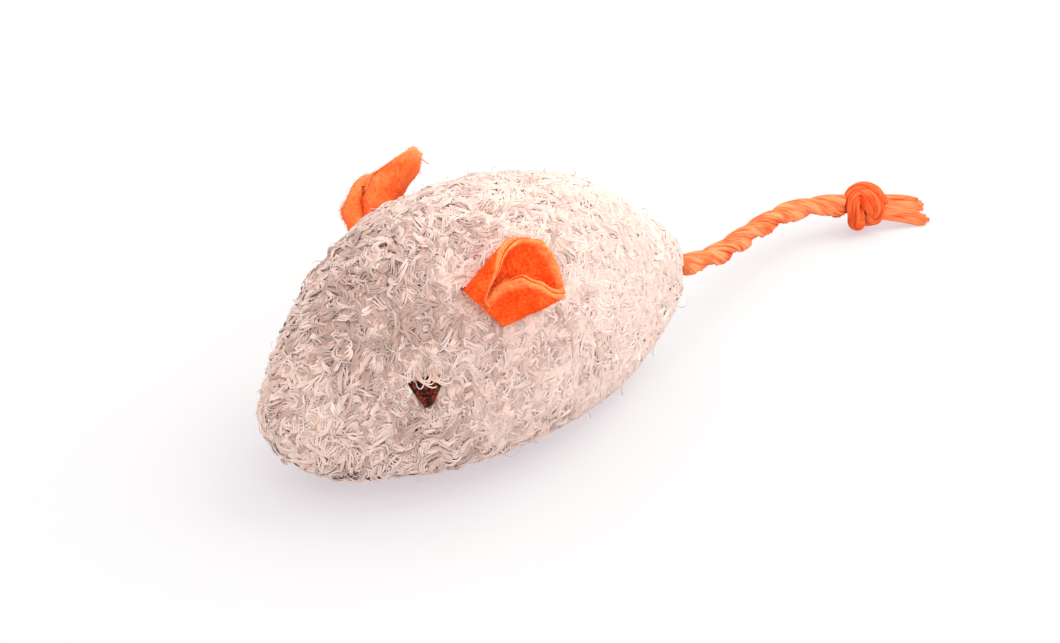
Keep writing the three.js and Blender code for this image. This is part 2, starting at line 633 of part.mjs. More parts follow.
// A flattened strand end that spreads a little and stays clear of the floor.
function tailFray(side) {
  const level = new THREE.Vector3(tailEndDirection.x, tailEndDirection.y, 0).normalize()
    .applyAxisAngle(up, side * degToRad(FRAY_SPREAD_DEGREES));
  const sideways = new THREE.Vector3().crossVectors(level, up);
  const heading = level.clone().multiplyScalar(FRAY_LENGTH).addScaledVector(up, -FRAY_DROOP).normalize();
  const start = knotCentre.clone()
    .addScaledVector(heading, KNOT_LENGTH / 2 + TOUCH_GAP)
    .addScaledVector(sideways, -side * (FRAY_WIDTH + TOUCH_GAP) / 2);
  const rings = [];
  const steps = CORD_SIDES / 2;
  for (let i = 0; i <= steps; i += 1) {
    const share = i / steps;
    const width = FRAY_WIDTH * (1 - share / 3);
    const centre = start.clone().addScaledVector(heading, FRAY_LENGTH * share);
    rings.push(Array.from({ length: CORD_SIDES }, (_, k) => {
      const turn = 2 * Math.PI * k / CORD_SIDES;
      return centre.clone()
        .addScaledVector(sideways, width / 2 * Math.cos(turn))
        .addScaledVector(up, FRAY_THICKNESS / 2 * Math.sin(turn));
    }));
  }
  return solidOf(loft(rings, start, start.clone().addScaledVector(heading, FRAY_LENGTH)));
}

// Panels and filling
const sides = [1, -1];
const mirrored = (solid) => solid.mirror([1, 0, 0]);

const seams = (growth) => [
  spineSeam(growth), rumpSeam(growth), ...sides.map((side) => bellySeam(side, growth)),
];
const sewnIn = (growth) => [
  ...sides.map((side) => eyeSolid(side, growth)),
  earStitch(leftEar, growth), mirrored(earStitch(rightEar, growth)),
];
const seats = [earSeat(leftEar, 0), mirrored(earSeat(rightEar, 0))];
const holes = [...sewnIn(TOUCH_GAP), tailAnchor(TOUCH_GAP), tailBinding(TOUCH_GAP), ...tailSwing()];
const floorSlab = cornerBox(low, new THREE.Vector3(high.x, high.y, 0));

const shell = pileSolid().subtract(bodySolid(CLOTH_THICKNESS));
const skin = subtractAll(shell, [floorSlab, ...seams(TOUCH_GAP), ...seats, ...holes]);
const fillingEnd = tailExit.y - BINDING_DEPTH - THREAD_DIAMETER / 2 - TOUCH_GAP;
const tailSpace = cornerBox(new THREE.Vector3(low.x, fillingEnd, low.z), high);
const filling = subtractAll(bodySolid(CLOTH_THICKNESS + TOUCH_GAP), [tailSpace, ...holes]);

function sidePanel(side) {
  return skin.intersect(halfSpace(side, TOUCH_GAP / 2)).subtract(bellyPrism(TOUCH_GAP));
}

function piece(name, solid, color, roughness) {
  const material = new THREE.MeshStandardMaterial({ color, roughness, metalness: 0 });
  const mesh = new THREE.Mesh(geometryOf(solid), material);
  mesh.name = name;
  return mesh;
}

const toy = new THREE.Group();
toy.add(
  piece('left_side_panel', sidePanel(1), PLUSH_COLOUR, 0.95),
  piece('right_side_panel', sidePanel(-1), PLUSH_COLOUR, 0.95),
  piece('belly_panel', skin.intersect(bellyPrism(0)), PLUSH_COLOUR, 0.95),
  piece('fibre_filling', filling, FIBRE_COLOUR, 1),
  piece('spine_seam_thread', spineSeam(0), THREAD_COLOUR, 0.8),
  piece('rump_seam_thread', rumpSeam(0), THREAD_COLOUR, 0.8),
  piece('left_belly_seam_thread', bellySeam(1, 0), THREAD_COLOUR, 0.8),
  piece('right_belly_seam_thread', bellySeam(-1, 0), THREAD_COLOUR, 0.8),
  piece('left_ear', earSolid(leftEar), FELT_COLOUR, 0.95),
  piece('right_ear', mirrored(earSolid(rightEar)), FELT_COLOUR, 0.95),
  piece('left_ear_stitch', earStitch(leftEar, 0), EYE_COLOUR, 0.7),
  piece('right_ear_stitch', mirrored(earStitch(rightEar, 0)), EYE_COLOUR, 0.7),
  piece('left_eye', eyeSolid(1, 0), EYE_COLOUR, 0.6),
  piece('right_eye', eyeSolid(-1, 0), EYE_COLOUR, 0.6),
  piece('tail_anchor_knot', tailAnchor(0), PAPER_COLOUR, 0.8),
  piece('tail_binding_thread', tailBinding(0), THREAD_COLOUR, 0.8),
  piece('tail_cord_base', tailBase(0), PAPER_COLOUR, 0.8),
  piece('tail_cord', tailCord(), PAPER_COLOUR, 0.8),
  piece('tail_knot', tailKnot(), PAPER_COLOUR, 0.8),
  piece('tail_left_strand_end', tailFray(-1), PAPER_COLOUR, 0.8),
  piece('tail_right_strand_end', tailFray(1), PAPER_COLOUR, 0.8),
);

export default toy;
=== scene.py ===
"""A stuffed toy mouse: a curly pile coat, folded felt ears, stitched eyes and a twisted paper cord tail.

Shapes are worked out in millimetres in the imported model's frame, where +Z is up, +Y runs from the nose
to the tail and +X is the mouse's own left. They are written to their meshes in metres.
"""

import logging
import math
from dataclasses import dataclass, field, replace
from enum import Enum
from typing import Sequence

import bpy
import numpy as np
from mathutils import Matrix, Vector


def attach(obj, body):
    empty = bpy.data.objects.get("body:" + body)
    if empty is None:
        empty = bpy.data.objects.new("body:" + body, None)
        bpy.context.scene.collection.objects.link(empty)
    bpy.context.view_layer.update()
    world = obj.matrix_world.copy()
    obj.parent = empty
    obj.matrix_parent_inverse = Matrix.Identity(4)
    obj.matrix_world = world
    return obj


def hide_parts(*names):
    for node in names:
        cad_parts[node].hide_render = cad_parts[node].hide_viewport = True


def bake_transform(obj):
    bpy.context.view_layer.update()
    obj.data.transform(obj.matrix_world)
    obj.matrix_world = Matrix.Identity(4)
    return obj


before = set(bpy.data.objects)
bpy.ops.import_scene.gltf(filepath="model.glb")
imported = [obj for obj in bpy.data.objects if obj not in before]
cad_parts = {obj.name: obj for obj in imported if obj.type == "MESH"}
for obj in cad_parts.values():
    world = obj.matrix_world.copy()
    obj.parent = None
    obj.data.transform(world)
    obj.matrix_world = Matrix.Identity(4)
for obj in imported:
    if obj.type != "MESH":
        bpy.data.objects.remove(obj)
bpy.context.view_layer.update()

Array = np.ndarray
Point = tuple[float, float, float]
Span = tuple[float, float]
Colour = tuple[int, int, int]
METRES_PER_MM = 0.001
BAKED_PLACES = "OFBake"
PLACE_MARGIN = 0.01
UP = np.array([0.0, 0.0, 1.0])
REARWARDS = np.array([0.0, 1.0, 0.0])

log = logging.getLogger("toy_mouse")


class Side(Enum):
    """The mouse's own left and right, with the sign of x on that side."""

    LEFT = 1
    RIGHT = -1


class Zone(Enum):
    """The parts of the coat that are pieces of their own, from the nose to the tail."""

    HEAD = 0
    BACK = 1
    RUMP = 2


def unit(vectors: Array) -> Array:
    """Each vector divided by its own length."""
    lengths = np.linalg.norm(vectors, axis=-1, keepdims=True)
    return vectors / np.maximum(lengths, 1e-9)


def mix(start: Array | float, end: Array | float, share: Array | float) -> Array | float:
    """The value a share of the way from start to end."""
    return start + (end - start) * share


def ease(values: Array, low: float, high: float) -> Array:
    """A smooth step from 0 at low to 1 at high: 3 s squared less 2 s cubed."""
    share = np.clip((values - low) / (high - low), 0, 1)
    return share * share * (3 - 2 * share)


def wrapped(turn: Array) -> Array:
    """Angles brought to between -PI and PI."""
    return np.mod(turn + np.pi, 2 * np.pi) - np.pi


def curve_through(knots: Array, values: Array, at: Array) -> Array:
    """A smooth cubic curve through values, whose slope at a knot is the mean of the slopes beside it.

    Args:
        knots: rising places, one for each value.
        values: what the curve passes through, with any number of columns.
        at: the places to work out.

    Returns:
        The curve's values at those places.
    """
    more = (1,) * (values.ndim - 1)
    span = np.diff(knots).reshape(-1, *more)
    slopes = np.diff(values, axis=0) / span
    tangents = np.concatenate([slopes[:1], (slopes[:-1] + slopes[1:]) / 2, slopes[-1:]])
    cell = np.clip(np.searchsorted(knots, at) - 1, 0, len(knots) - 2)
    share = ((at - knots[cell]) / np.diff(knots)[cell]).reshape(np.shape(at) + more)
    square, cube = share**2, share**3
    return (
        (2 * cube - 3 * square + 1) * values[cell]
        + (cube - 2 * square + share) * span[cell] * tangents[cell]
        + (3 * square - 2 * cube) * values[cell + 1]
        + (cube - square) * span[cell] * tangents[cell + 1]
    )


def through(route: Array, count: int) -> Array:
    """A number of points on the smooth curve through a route's points."""
    return curve_through(np.arange(len(route), dtype=float), route, np.linspace(0, len(route) - 1, count))


@dataclass(frozen=True)
class Waves:
    """Smooth noise: the sum of sine waves that run in seeded directions, about -1 to 1 and mostly near 0."""

    seed: int
    size: float
    count: int = 14
    rate_range: Span = (0.6, 1.5)

    def at(self, points: Array) -> Array:
        """The noise at each point.

        Args:
            points: places, with their coordinates in the last column.

        Returns:
            One value for each place.
        """
        random = np.random.default_rng(self.seed)
        directions = unit(random.normal(size=(self.count, points.shape[-1])))
        rates = 2 * np.pi / self.size * random.uniform(*self.rate_range, (self.count, 1))
        phases = random.uniform(0, 2 * np.pi, self.count)
        return np.sin(points @ (directions * rates).T + phases).sum(-1) / math.sqrt(self.count / 2)


def along_line(points: Array) -> Array:
    """How far along a line of points each point is."""
    return np.concatenate([[0], np.cumsum(np.linalg.norm(np.diff(points, axis=0), axis=1))])


def columns(shape: tuple[int, ...], *values: Array | float) -> Array:
    """Values spread over one shape and set side by side in the last column."""
    return np.stack([np.broadcast_to(value, shape) for value in values], -1)


@dataclass
class Surface:
    """Points, the faces between them, a texture place for each point and, where given, its normal."""

    points: Array
    faces: list[Array]
    places: Array
    normals: Array | None = None

    @staticmethod
    def joined(parts: Sequence["Surface"]) -> "Surface":
        """Several surfaces as one."""
        starts = np.cumsum([0] + [len(part.points) for part in parts[:-1]])
        return Surface(
            np.concatenate([part.points for part in parts]),
            [faces + start for part, start in zip(parts, starts) for faces in part.faces],
            np.concatenate([part.places for part in parts]),
        )

    def on(self, side: Side) -> "Surface":
        """The surface as made for the left, or its mirror image for the right.

        Args:
            side: the side that it is wanted on.

        Returns:
            The surface there.
        """
        if side is Side.LEFT:
            return self
        flipped = [faces[:, ::-1] for faces in self.faces]
        return Surface(self.points * [-1, 1, 1], flipped, self.places)

    def piece(
        self, name: str, finish: "Finish", body: str | None, *nodes: str, own_places: bool = True
    ) -> bpy.types.Object:
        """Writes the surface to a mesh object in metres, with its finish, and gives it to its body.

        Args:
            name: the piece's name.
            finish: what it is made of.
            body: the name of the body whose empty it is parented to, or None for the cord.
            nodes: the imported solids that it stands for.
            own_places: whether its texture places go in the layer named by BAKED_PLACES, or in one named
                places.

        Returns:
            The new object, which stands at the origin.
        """
        mesh = bpy.data.meshes.new(name)
        corners = np.concatenate([faces.ravel() for faces in self.faces]).astype(np.int32)
        counts = np.concatenate([np.full(len(faces), faces.shape[1]) for faces in self.faces])
        mesh.vertices.add(len(self.points))
        mesh.vertices.foreach_set("co", (self.points * METRES_PER_MM).astype(np.float32).ravel())
        mesh.loops.add(len(corners))
        mesh.loops.foreach_set("vertex_index", corners)
        mesh.polygons.add(len(counts))
        mesh.polygons.foreach_set("loop_start", (np.cumsum(counts) - counts).astype(np.int32))
        mesh.polygons.foreach_set("use_smooth", np.ones(len(counts), bool))
        mesh.update(calc_edges=True)
        if self.normals is not None:
            mesh.normals_split_custom_set_from_vertices(self.normals.astype(np.float32))
        layer = mesh.uv_layers.new(name=BAKED_PLACES if own_places else "places")
        layer.data.foreach_set("uv", self.places[corners].astype(np.float32).ravel())
        mesh.materials.append(finish.material())
        made = bpy.data.objects.new(name, mesh)
        bpy.context.scene.collection.objects.link(made)
        if body is not None:
            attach(made, body)
        if nodes:
            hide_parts(*nodes)
        log.info("%s: %d triangles of %s", name, (counts - 2).sum(), finish.name)
        return made


def tubes(rings: Array, places: Array, tips: Array | None = None) -> Surface:
    """Closed skins over many stacks of rings at once, each with a fan to a point at both ends.

    Args:
        rings: ring points, indexed by tube, ring, point of the ring and coordinate.
        places: texture places, indexed in the same way.
        tips: the two end points of each tube. The middles of its end rings if left out.

    Returns:
        One surface of all the tubes.
    """
    count, rows, sides = rings.shape[:3]
    ends = rings[:, [0, -1]].mean(axis=2) if tips is None else tips
    points = np.concatenate([rings.reshape(count, -1, 3), ends], axis=1)
    all_places = np.concatenate([places.reshape(count, -1, 2), places[:, [0, -1]].mean(axis=2)], axis=1)
    row, side = np.meshgrid(np.arange(rows - 1) * sides, np.arange(sides), indexing="ij")
    after = (side + 1) % sides
    quads = np.stack([row + side, row + after, row + sides + after, row + sides + side], -1).reshape(-1, 4)
    first, last = rows * sides, (rows - 1) * sides
    around, following = side[0], after[0]
    fans = np.concatenate([
        np.stack([np.full(sides, first), following, around], -1),
        np.stack([np.full(sides, first + 1), last + around, last + following], -1),
    ])
    starts = (np.arange(count) * (rows * sides + 2))[:, None, None]
    faces = [(quads + starts).reshape(-1, 4), (fans + starts).reshape(-1, 3)]
    return Surface(points.reshape(-1, 3), faces, all_places.reshape(-1, 2))


def swept(paths: Array, fronts: Array, widths: Array, depths: Array, sides: int) -> Array:
    """Rings of an oval section carried along paths: width across the front direction and depth along it.

    Args:
        paths: path points, indexed by tube, row and coordinate.
        fronts: a direction at each path point that the section's depth follows.
        widths: the section's width at each path point.
        depths: its depth there.
        sides: how many points a ring has.

    Returns:
        Ring points, indexed by tube, row, point and coordinate.
    """
    tangents = unit(np.gradient(paths, axis=1))
    across = unit(np.cross(fronts, tangents))
    front = np.cross(tangents, across)
    turn = np.pi / 2 + 2 * np.pi * np.arange(sides) / sides
    sideways = widths[..., None, None] / 2 * np.cos(turn)[:, None] * across[:, :, None]
    outwards = depths[..., None, None] / 2 * np.sin(turn)[:, None] * front[:, :, None]
    return paths[:, :, None] + sideways + outwards


def ring_places(tints: Array, rows: int, sides: int, spread: float = 0.012) -> Array:
    """Texture places of tubes: across is a tint of the tube's own, and up runs along it from 0 to 1.

    Args:
        tints: one value from 0 to 1 for each tube.
        rows: rings in each tube.
        sides: points in each ring.
        spread: how wide the tube's strip of texture is.

    Returns:
        Places, indexed by tube, ring, point and coordinate.
    """
    around = np.abs(np.linspace(-1, 1, sides)) * spread
    across = np.clip(tints, spread, 1 - 2 * spread)[:, None, None] + around
    along = np.linspace(PLACE_MARGIN, 1 - PLACE_MARGIN, rows)[None, :, None]
    return columns((len(tints), rows, sides), across, along)


def threads(
    paths: Array, fronts: Array, size: Array | float, sides: int, tints: Sequence[float],
    spread: float = 0.012, flatness: float = 1.0,
) -> Surface:
    """Closed threads along paths, each with a tint of its own.

    Args:
        paths: path points, indexed by thread, row and coordinate.
        fronts: a direction that each section's depth follows.
        size: the threads' width, one for all or one at each path point.
        sides: points in each ring.
        tints: one value from 0 to 1 for each thread.
        spread: how wide each thread's strip of texture is.
        flatness: the depth as a share of the width.

    Returns:
        One surface of all the threads.
    """
    sizes = np.broadcast_to(size, paths.shape[:2])
    rings = swept(paths, np.broadcast_to(fronts, paths.shape), sizes, sizes * flatness, sides)
    return tubes(rings, ring_places(np.asarray(tints), paths.shape[1], sides, spread))


def shell(outer: Array, inner: Array) -> Surface:
    """A closed sheet between two grids of points, with walls round its edge.

    Args:
        outer: the grid whose column direction crossed with its row direction points outwards.
        inner: the grid behind it.

    Returns:
        The closed surface.
    """
    rows, breadth = outer.shape[:2]
    count = rows * breadth
    index = np.arange(count).reshape(rows, breadth)
    corners = [index[:-1, :-1], index[:-1, 1:], index[1:, 1:], index[1:, :-1]]
    front = np.stack(corners, -1).reshape(-1, 4)
    back = front[:, ::-1] + count
    edge = np.concatenate([index[0, :-1], index[:-1, -1], index[-1, :0:-1], index[:0:-1, 0]])
    after = np.roll(edge, -1)
    wall = np.stack([edge, edge + count, after + count, after], -1)
    along, across = np.meshgrid(np.linspace(0, 1, rows), np.linspace(0, 1, breadth), indexing="ij")
    places = np.stack([across, along], -1).reshape(-1, 2)
    points = np.concatenate([outer.reshape(-1, 3), inner.reshape(-1, 3)])
    return Surface(points, [front, back, wall], np.concatenate([places * 0.5, places * 0.5 + 0.5]))


def metres(point: Sequence[float]) -> Point:
    """A point in millimetres as a tuple in metres."""
    return tuple(float(value) * METRES_PER_MM for value in point)


def linear(colour: Sequence[int]) -> tuple[float, float, float, float]:
    """A screen colour as the light values that the shaders take.

    Args:
        colour: red, green and blue from 0 to 255.

    Returns:
        The three light values and an opacity of 1.
    """
    shares = [value / 255 for value in colour]
    lit = [s / 12.92 if s <= 0.04045 else ((s + 0.055) / 1.055) ** 2.4 for s in shares]
    return (*lit, 1.0)


class Nodes:
    """Short ways to add shader nodes to one material and join them."""

    def __init__(self, tree: bpy.types.NodeTree) -> None:
        """Takes the material's node tree."""
        self.tree = tree

    def feed(self, socket: bpy.types.NodeSocket, value: object) -> None:
        """Joins an input to another node's output, or sets its value."""
        if isinstance(value, bpy.types.NodeSocket):
            self.tree.links.new(value, socket)
        else:
            socket.default_value = value

    def add(self, kind: str, **values: object) -> bpy.types.Node:
        """Adds a node and sets its properties, or its inputs where no property has the name.

        Args:
            kind: the node's type without its ShaderNode prefix.
            values: properties, or inputs with spaces written as underscores. A socket is joined.

        Returns:
            The new node.
        """
        node = self.tree.nodes.new("ShaderNode" + kind)
        for name, value in values.items():
            if name in node.bl_rna.properties and name.islower():
                setattr(node, name, value)
            else:
                self.feed(node.inputs[name.replace("_", " ")], value)
        return node

    def object_place(self) -> bpy.types.NodeSocket:
        """Object coordinates, in metres."""
        return self.add("TexCoord").outputs["Object"]

    def own_place(self) -> tuple[bpy.types.NodeSocket, bpy.types.NodeSocket]:
        """The piece's own texture place: its tint across, and its share along."""
        places = self.add("UVMap", uv_map=BAKED_PLACES).outputs["UV"]
        split = self.add("SeparateXYZ", Vector=places)
        return split.outputs["X"], split.outputs["Y"]

    def noise(self, vector: bpy.types.NodeSocket, scale: float, detail: float = 3.0) -> bpy.types.NodeSocket:
        """Noise with a given number of waves to the metre."""
        return self.add("TexNoise", Vector=vector, Scale=scale, Detail=detail).outputs[0]

    def ramp(
        self, value: bpy.types.NodeSocket, stops: Sequence[tuple[float, Sequence[int]]]
    ) -> bpy.types.NodeSocket:
        """A colour that runs through stops as a value runs from 0 to 1.

        Args:
            value: what drives it.
            stops: places from 0 to 1, each with its screen colour.

        Returns:
            The colour.
        """
        node = self.add("ValToRGB", Fac=value)
        elements = node.color_ramp.elements
        while len(elements) < len(stops):
            elements.new(0.5)
        for element, (place, colour) in zip(elements, stops):
            element.position = place
            element.color = linear(colour)
        return node.outputs["Color"]

    def blend(
        self, share: bpy.types.NodeSocket | float, first: object, second: object, how: str = "MIX"
    ) -> bpy.types.NodeSocket:
        """Two colours mixed.

        Args:
            share: how much of the second one.
            first: a socket or a colour.
            second: the same.
            how: the kind of mixing.

        Returns:
            The mixed colour.
        """
        node = self.add("Mix", data_type="RGBA", blend_type=how)
        for index, value in ((0, share), (6, first), (7, second)):
            self.feed(node.inputs[index], value)
        return node.outputs[2]

    def math(self, operation: str, first: object, second: object = 0.0) -> bpy.types.NodeSocket:
        """One sum of two values, each a socket or a number.

        Args:
            operation: the kind of sum.
            first: its first value.
            second: its second value.

        Returns:
            The result.
        """
        node = self.add("Math", operation=operation)
        for socket, value in zip(node.inputs, (first, second)):
            self.feed(socket, value)
        return node.outputs[0]


def shaded(name: str, **values: object) -> tuple[bpy.types.Material, Nodes, bpy.types.Node]:
    """A new material with values of its shader's own sockets.

    Args:
        name: its name.
        values: the sockets' values, with underscores for spaces.

    Returns:
        The material, its nodes and its shader.
    """
    material = bpy.data.materials.new(name)
    material.use_nodes = True
    shader = material.node_tree.nodes["Principled BSDF"]
    for socket, value in values.items():
        shader.inputs[socket.replace("_", " ")].default_value = value
    return material, Nodes(material.node_tree), shader


@dataclass(frozen=True)
class Finish:
    """What a piece is made of. Each kind of finish says how its colour and its relief run."""

    name: str
    slot: str
    roughness: float
    sheen: float = 0.0
    sheen_roughness: float = 0.4
    specular: float = 0.5
    relief_mm: float = 0.0

    def colour(self, nodes: Nodes) -> bpy.types.NodeSocket:
        """The colour over the surface."""
        raise NotImplementedError

    def relief(self, nodes: Nodes) -> bpy.types.NodeSocket | None:
        """The height over the surface from 0 to 1, or None where it is smooth."""
        return None

    def material(self) -> bpy.types.Material:
        """The finish's material, which all its pieces share."""
        known = bpy.data.materials.get(self.name)
        if known is not None:
            return known
        material, nodes, shader = shaded(
            self.name, Roughness=self.roughness, Specular_IOR_Level=self.specular,
            Sheen_Weight=self.sheen, Sheen_Roughness=self.sheen_roughness,
        )
        nodes.feed(shader.inputs["Base Color"], self.colour(nodes))
        height = self.relief(nodes)
        if height is not None:
            distance = self.relief_mm * METRES_PER_MM
            bump = nodes.add("Bump", Height=height, Distance=distance, Strength=1.0)
            nodes.feed(shader.inputs["Normal"], bump.outputs["Normal"])
        return material


@dataclass(frozen=True)
class PileFinish(Finish):
    """Silky curled fibres, each with a tint of its own, with painted shade darker towards the root."""

    # The root colours are painted shade, darkest at the fibre's root deep in the pile.
    root: Colour = (247, 223, 211)
    stem: Colour = (253, 244, 239)
    shade: Colour = (192, 163, 152)
    middle: Colour = (239, 214, 205)
    light: Colour = (244, 219, 208)
    bright: Colour = (255, 247, 241)

    def colour(self, nodes: Nodes) -> bpy.types.NodeSocket:
        """The fibre's tint, with painted shade that darkens it towards its root.

        Args:
            nodes: the material's nodes.

        Returns:
            The colour.
        """
        tint, along = nodes.own_place()
        own = nodes.ramp(tint, [(0.0, self.shade), (0.4, self.middle), (0.8, self.light), (1.0, self.bright)])
        # Painted shade: the fibre darkens from six tenths of its length down to its root.
        dark = nodes.ramp(along, [(0.0, self.root), (0.35, self.stem), (0.6, (255, 255, 255))])
        return nodes.blend(1.0, own, dark, "MULTIPLY")


@dataclass(frozen=True)
class GroundFinish(Finish):
    """The knitted ground that the pile stands in."""

    thread: Colour = (242, 213, 199)
    # Painted shade: the darker tone stands for the dim gaps between the locks.
    gap_shade: Colour = (226, 193, 177)

    def colour(self, nodes: Nodes) -> bpy.types.NodeSocket:
        """Thread colour mottled by noise with a darker tone, painted shade for the gaps between locks."""
        patches = nodes.noise(nodes.object_place(), 260.0, 4.0)
        return nodes.blend(patches, linear(self.gap_shade), linear(self.thread))

    def relief(self, nodes: Nodes) -> bpy.types.NodeSocket:
        """Rows of stitches about 0.8 mm apart, uneven like a knit under tension."""
        rows = nodes.add("TexWave", Vector=nodes.object_place(), Scale=390.0, Distortion=3.0, Detail=2.0)
        return nodes.math("ADD", rows.outputs[1], nodes.noise(nodes.object_place(), 1500.0))


@dataclass(frozen=True)
class FeltFinish(Finish):
    """Pressed felt: mottled, with short matted fibres."""

    deep: Colour = (228, 52, 8)
    base: Colour = (244, 82, 22)
    pale: Colour = (252, 120, 56)
    # The rim colour is a painted highlight where the free edge catches the light.
    rim_highlight: Colour = (255, 164, 100)
    rim_highlight_starts: Span = (0.66, 0.84)
    rim_highlight_rise: float = 8.0
    cloud_rate: float = 420.0
    speck_rate: float = 2600.0

    def colour(self, nodes: Nodes) -> bpy.types.NodeSocket:
        """Soft clouds of pale and deep fibre at two scales, with a painted highlight along the free edge.

        Args:
            nodes: the material's nodes.

        Returns:
            The colour.
        """
        place = nodes.object_place()
        clouds, specks = nodes.noise(place, self.cloud_rate, 4.0), nodes.noise(place, self.speck_rate, 5.0)
        both = nodes.math("ADD", *(nodes.math("MULTIPLY", value, 0.5) for value in (clouds, specks)))
        felt = nodes.ramp(both, [(0.33, self.deep), (0.5, self.base), (0.68, self.pale)])
        sheet = nodes.add("SeparateXYZ", Vector=nodes.add("UVMap", uv_map="places").outputs["UV"])
        doubled = [nodes.math("MULTIPLY", sheet.outputs[axis], 2.0) for axis in "XY"]
        across, up = (nodes.math("FRACT", value) for value in doubled)
        aside = nodes.math("ABSOLUTE", nodes.math("SUBTRACT", nodes.math("MULTIPLY", across, 2.0), 1.0))
        past_side = nodes.math("SUBTRACT", aside, self.rim_highlight_starts[0])
        edge = nodes.math("MAXIMUM", past_side, nodes.math("SUBTRACT", up, self.rim_highlight_starts[1]))
        rising = nodes.math("MULTIPLY", nodes.math("MAXIMUM", edge), self.rim_highlight_rise)
        share = nodes.math("MINIMUM", rising, 1.0)
        patchy_highlight = nodes.math("ADD", nodes.math("MULTIPLY", specks, 1.1), 0.15)
        # Painted highlight: the free edge is paler, broken into patches by the specks.
        return nodes.blend(nodes.math("MULTIPLY", share, patchy_highlight), felt, linear(self.rim_highlight))

    def relief(self, nodes: Nodes) -> bpy.types.NodeSocket:
        """Matted fibres: fine noise drawn out by coarser noise."""
        place = nodes.object_place()
        return nodes.add("TexNoise", Vector=place, Scale=2200.0, Detail=6.0, Distortion=1.6).outputs[0]


@dataclass(frozen=True)
class FuzzFinish(Finish):
    """Loose felt fibres."""

    dark: Colour = (244, 88, 28)
    pale: Colour = (255, 152, 92)

    def colour(self, nodes: Nodes) -> bpy.types.NodeSocket:
        """Each fibre's own tint."""
        return nodes.ramp(nodes.own_place()[0], [(0.0, self.dark), (1.0, self.pale)])


@dataclass(frozen=True)
class PaperFinish(Finish):
    """Crinkled paper twisted into a ply, with painted shade in its folds and painted highlight on its crests.
    """

    # Fold and crest colours are painted shade and painted highlight that follow the creases.
    fold: Colour = (214, 72, 26)
    base: Colour = (232, 112, 60)
    crest_highlight: Colour = (242, 150, 102)

    def colour(self, nodes: Nodes) -> bpy.types.NodeSocket:
        """Streaks along the ply of painted shade and highlight, and soft clouds over it.

        Args:
            nodes: the material's nodes.

        Returns:
            The colour.
        """
        clouds = nodes.noise(nodes.object_place(), 240.0, 2.0)
        # Painted shade and highlight: the colour follows the relief, dark in creases, pale on crests.
        crease_shading = nodes.math("MULTIPLY", self.relief(nodes), 0.7)
        both = nodes.math("ADD", crease_shading, nodes.math("MULTIPLY", clouds, 0.3))
        return nodes.ramp(both, [(0.36, self.fold), (0.46, self.base), (0.58, self.crest_highlight)])

    def relief(self, nodes: Nodes) -> bpy.types.NodeSocket:
        """Creases that are short round the ply and long along it.

        Args:
            nodes: the material's nodes.

        Returns:
            The height.
        """
        around, along = nodes.own_place()
        place = nodes.add("CombineXYZ", X=nodes.math("MULTIPLY", around, 3.0), Y=along).outputs[0]
        return nodes.noise(place, 10.0, 4.0)


@dataclass(frozen=True)
class ThreadFinish(Finish):
    """Spun thread, with a tint for each strand."""

    dark: Colour = (200, 182, 168)
    pale: Colour = (232, 220, 208)
    grain: float = 60.0
    grain_share: float = 0.25
    ends: Span = (0.1, 0.9)

    def colour(self, nodes: Nodes) -> bpy.types.NodeSocket:
        """The strand's tint, broken by fine fibres along it.

        Args:
            nodes: the material's nodes.

        Returns:
            The colour.
        """
        tint, along = nodes.own_place()
        place = nodes.add("CombineXYZ", X=nodes.math("MULTIPLY", tint, 4.0), Y=along).outputs[0]
        fibres = nodes.math("MULTIPLY", nodes.noise(place, self.grain, 4.0), self.grain_share)
        both = nodes.math("ADD", nodes.math("MULTIPLY", tint, 1.0 - self.grain_share), fibres)
        return nodes.ramp(both, list(zip(self.ends, (self.dark, self.pale))))


@dataclass(frozen=True)
class WaddingFinish(Finish):
    """Loose polyester filling."""

    pale: Colour = (246, 245, 243)
    dim: Colour = (222, 221, 220)

    def colour(self, nodes: Nodes) -> bpy.types.NodeSocket:
        """Pale fibre with dimmer hollows."""
        return nodes.blend(nodes.noise(nodes.object_place(), 300.0, 5.0), linear(self.dim), linear(self.pale))

    def relief(self, nodes: Nodes) -> bpy.types.NodeSocket:
        """Matted strands."""
        strands = nodes.add("TexNoise", Vector=nodes.object_place(), Scale=900.0, Detail=5.0, Distortion=2.5)
        return strands.outputs[0]


PILE = PileFinish("curly_pile", "plush", roughness=0.45, specular=0.15, sheen=0.2)
GROUND = GroundFinish("knitted_ground", "plush", roughness=0.9, relief_mm=0.25)
FELT = FeltFinish("orange_felt", "felt", roughness=0.95, specular=0.1, relief_mm=0.16)
# A lit copy of the felt for the far ear: its paler colours are painted light from the lamp behind.
SUNLIT_FELT = replace(
    FELT, name="sunlit_painted_felt", deep=(244, 90, 36), base=(253, 122, 60), pale=(255, 150, 94),
    rim_highlight=(255, 168, 110),
)
FUZZ = FuzzFinish("felt_fuzz", "felt", roughness=0.9, specular=0.05)
PAPER = PaperFinish("twisted_paper", "paper_cord", roughness=0.7, specular=0.1, relief_mm=0.15)
FRAYED_PAPER = replace(
    PAPER, name="frayed_paper", fold=(206, 62, 20), base=(228, 98, 48), crest_highlight=(240, 136, 86)
)
TIGHT_PAPER = replace(
    PAPER, name="knotted_paper", fold=(196, 48, 16), base=(224, 84, 36), crest_highlight=(236, 116, 66)
)
THREAD = ThreadFinish("sewing_thread", "seam_thread", roughness=0.6)
# Painted highlight: the pale reddish tone stands for the glints on the dark eye thread.
EYE_THREAD = ThreadFinish(
    "satin_eye_thread", "eye_thread", roughness=0.5, specular=0.12, dark=(8, 4, 6), pale=(150, 58, 30),
    grain=11.0, grain_share=0.6, ends=(0.31, 0.53),
)
WADDING = WaddingFinish("polyester_wadding", "fibre", roughness=0.8, sheen=0.4, relief_mm=0.3)


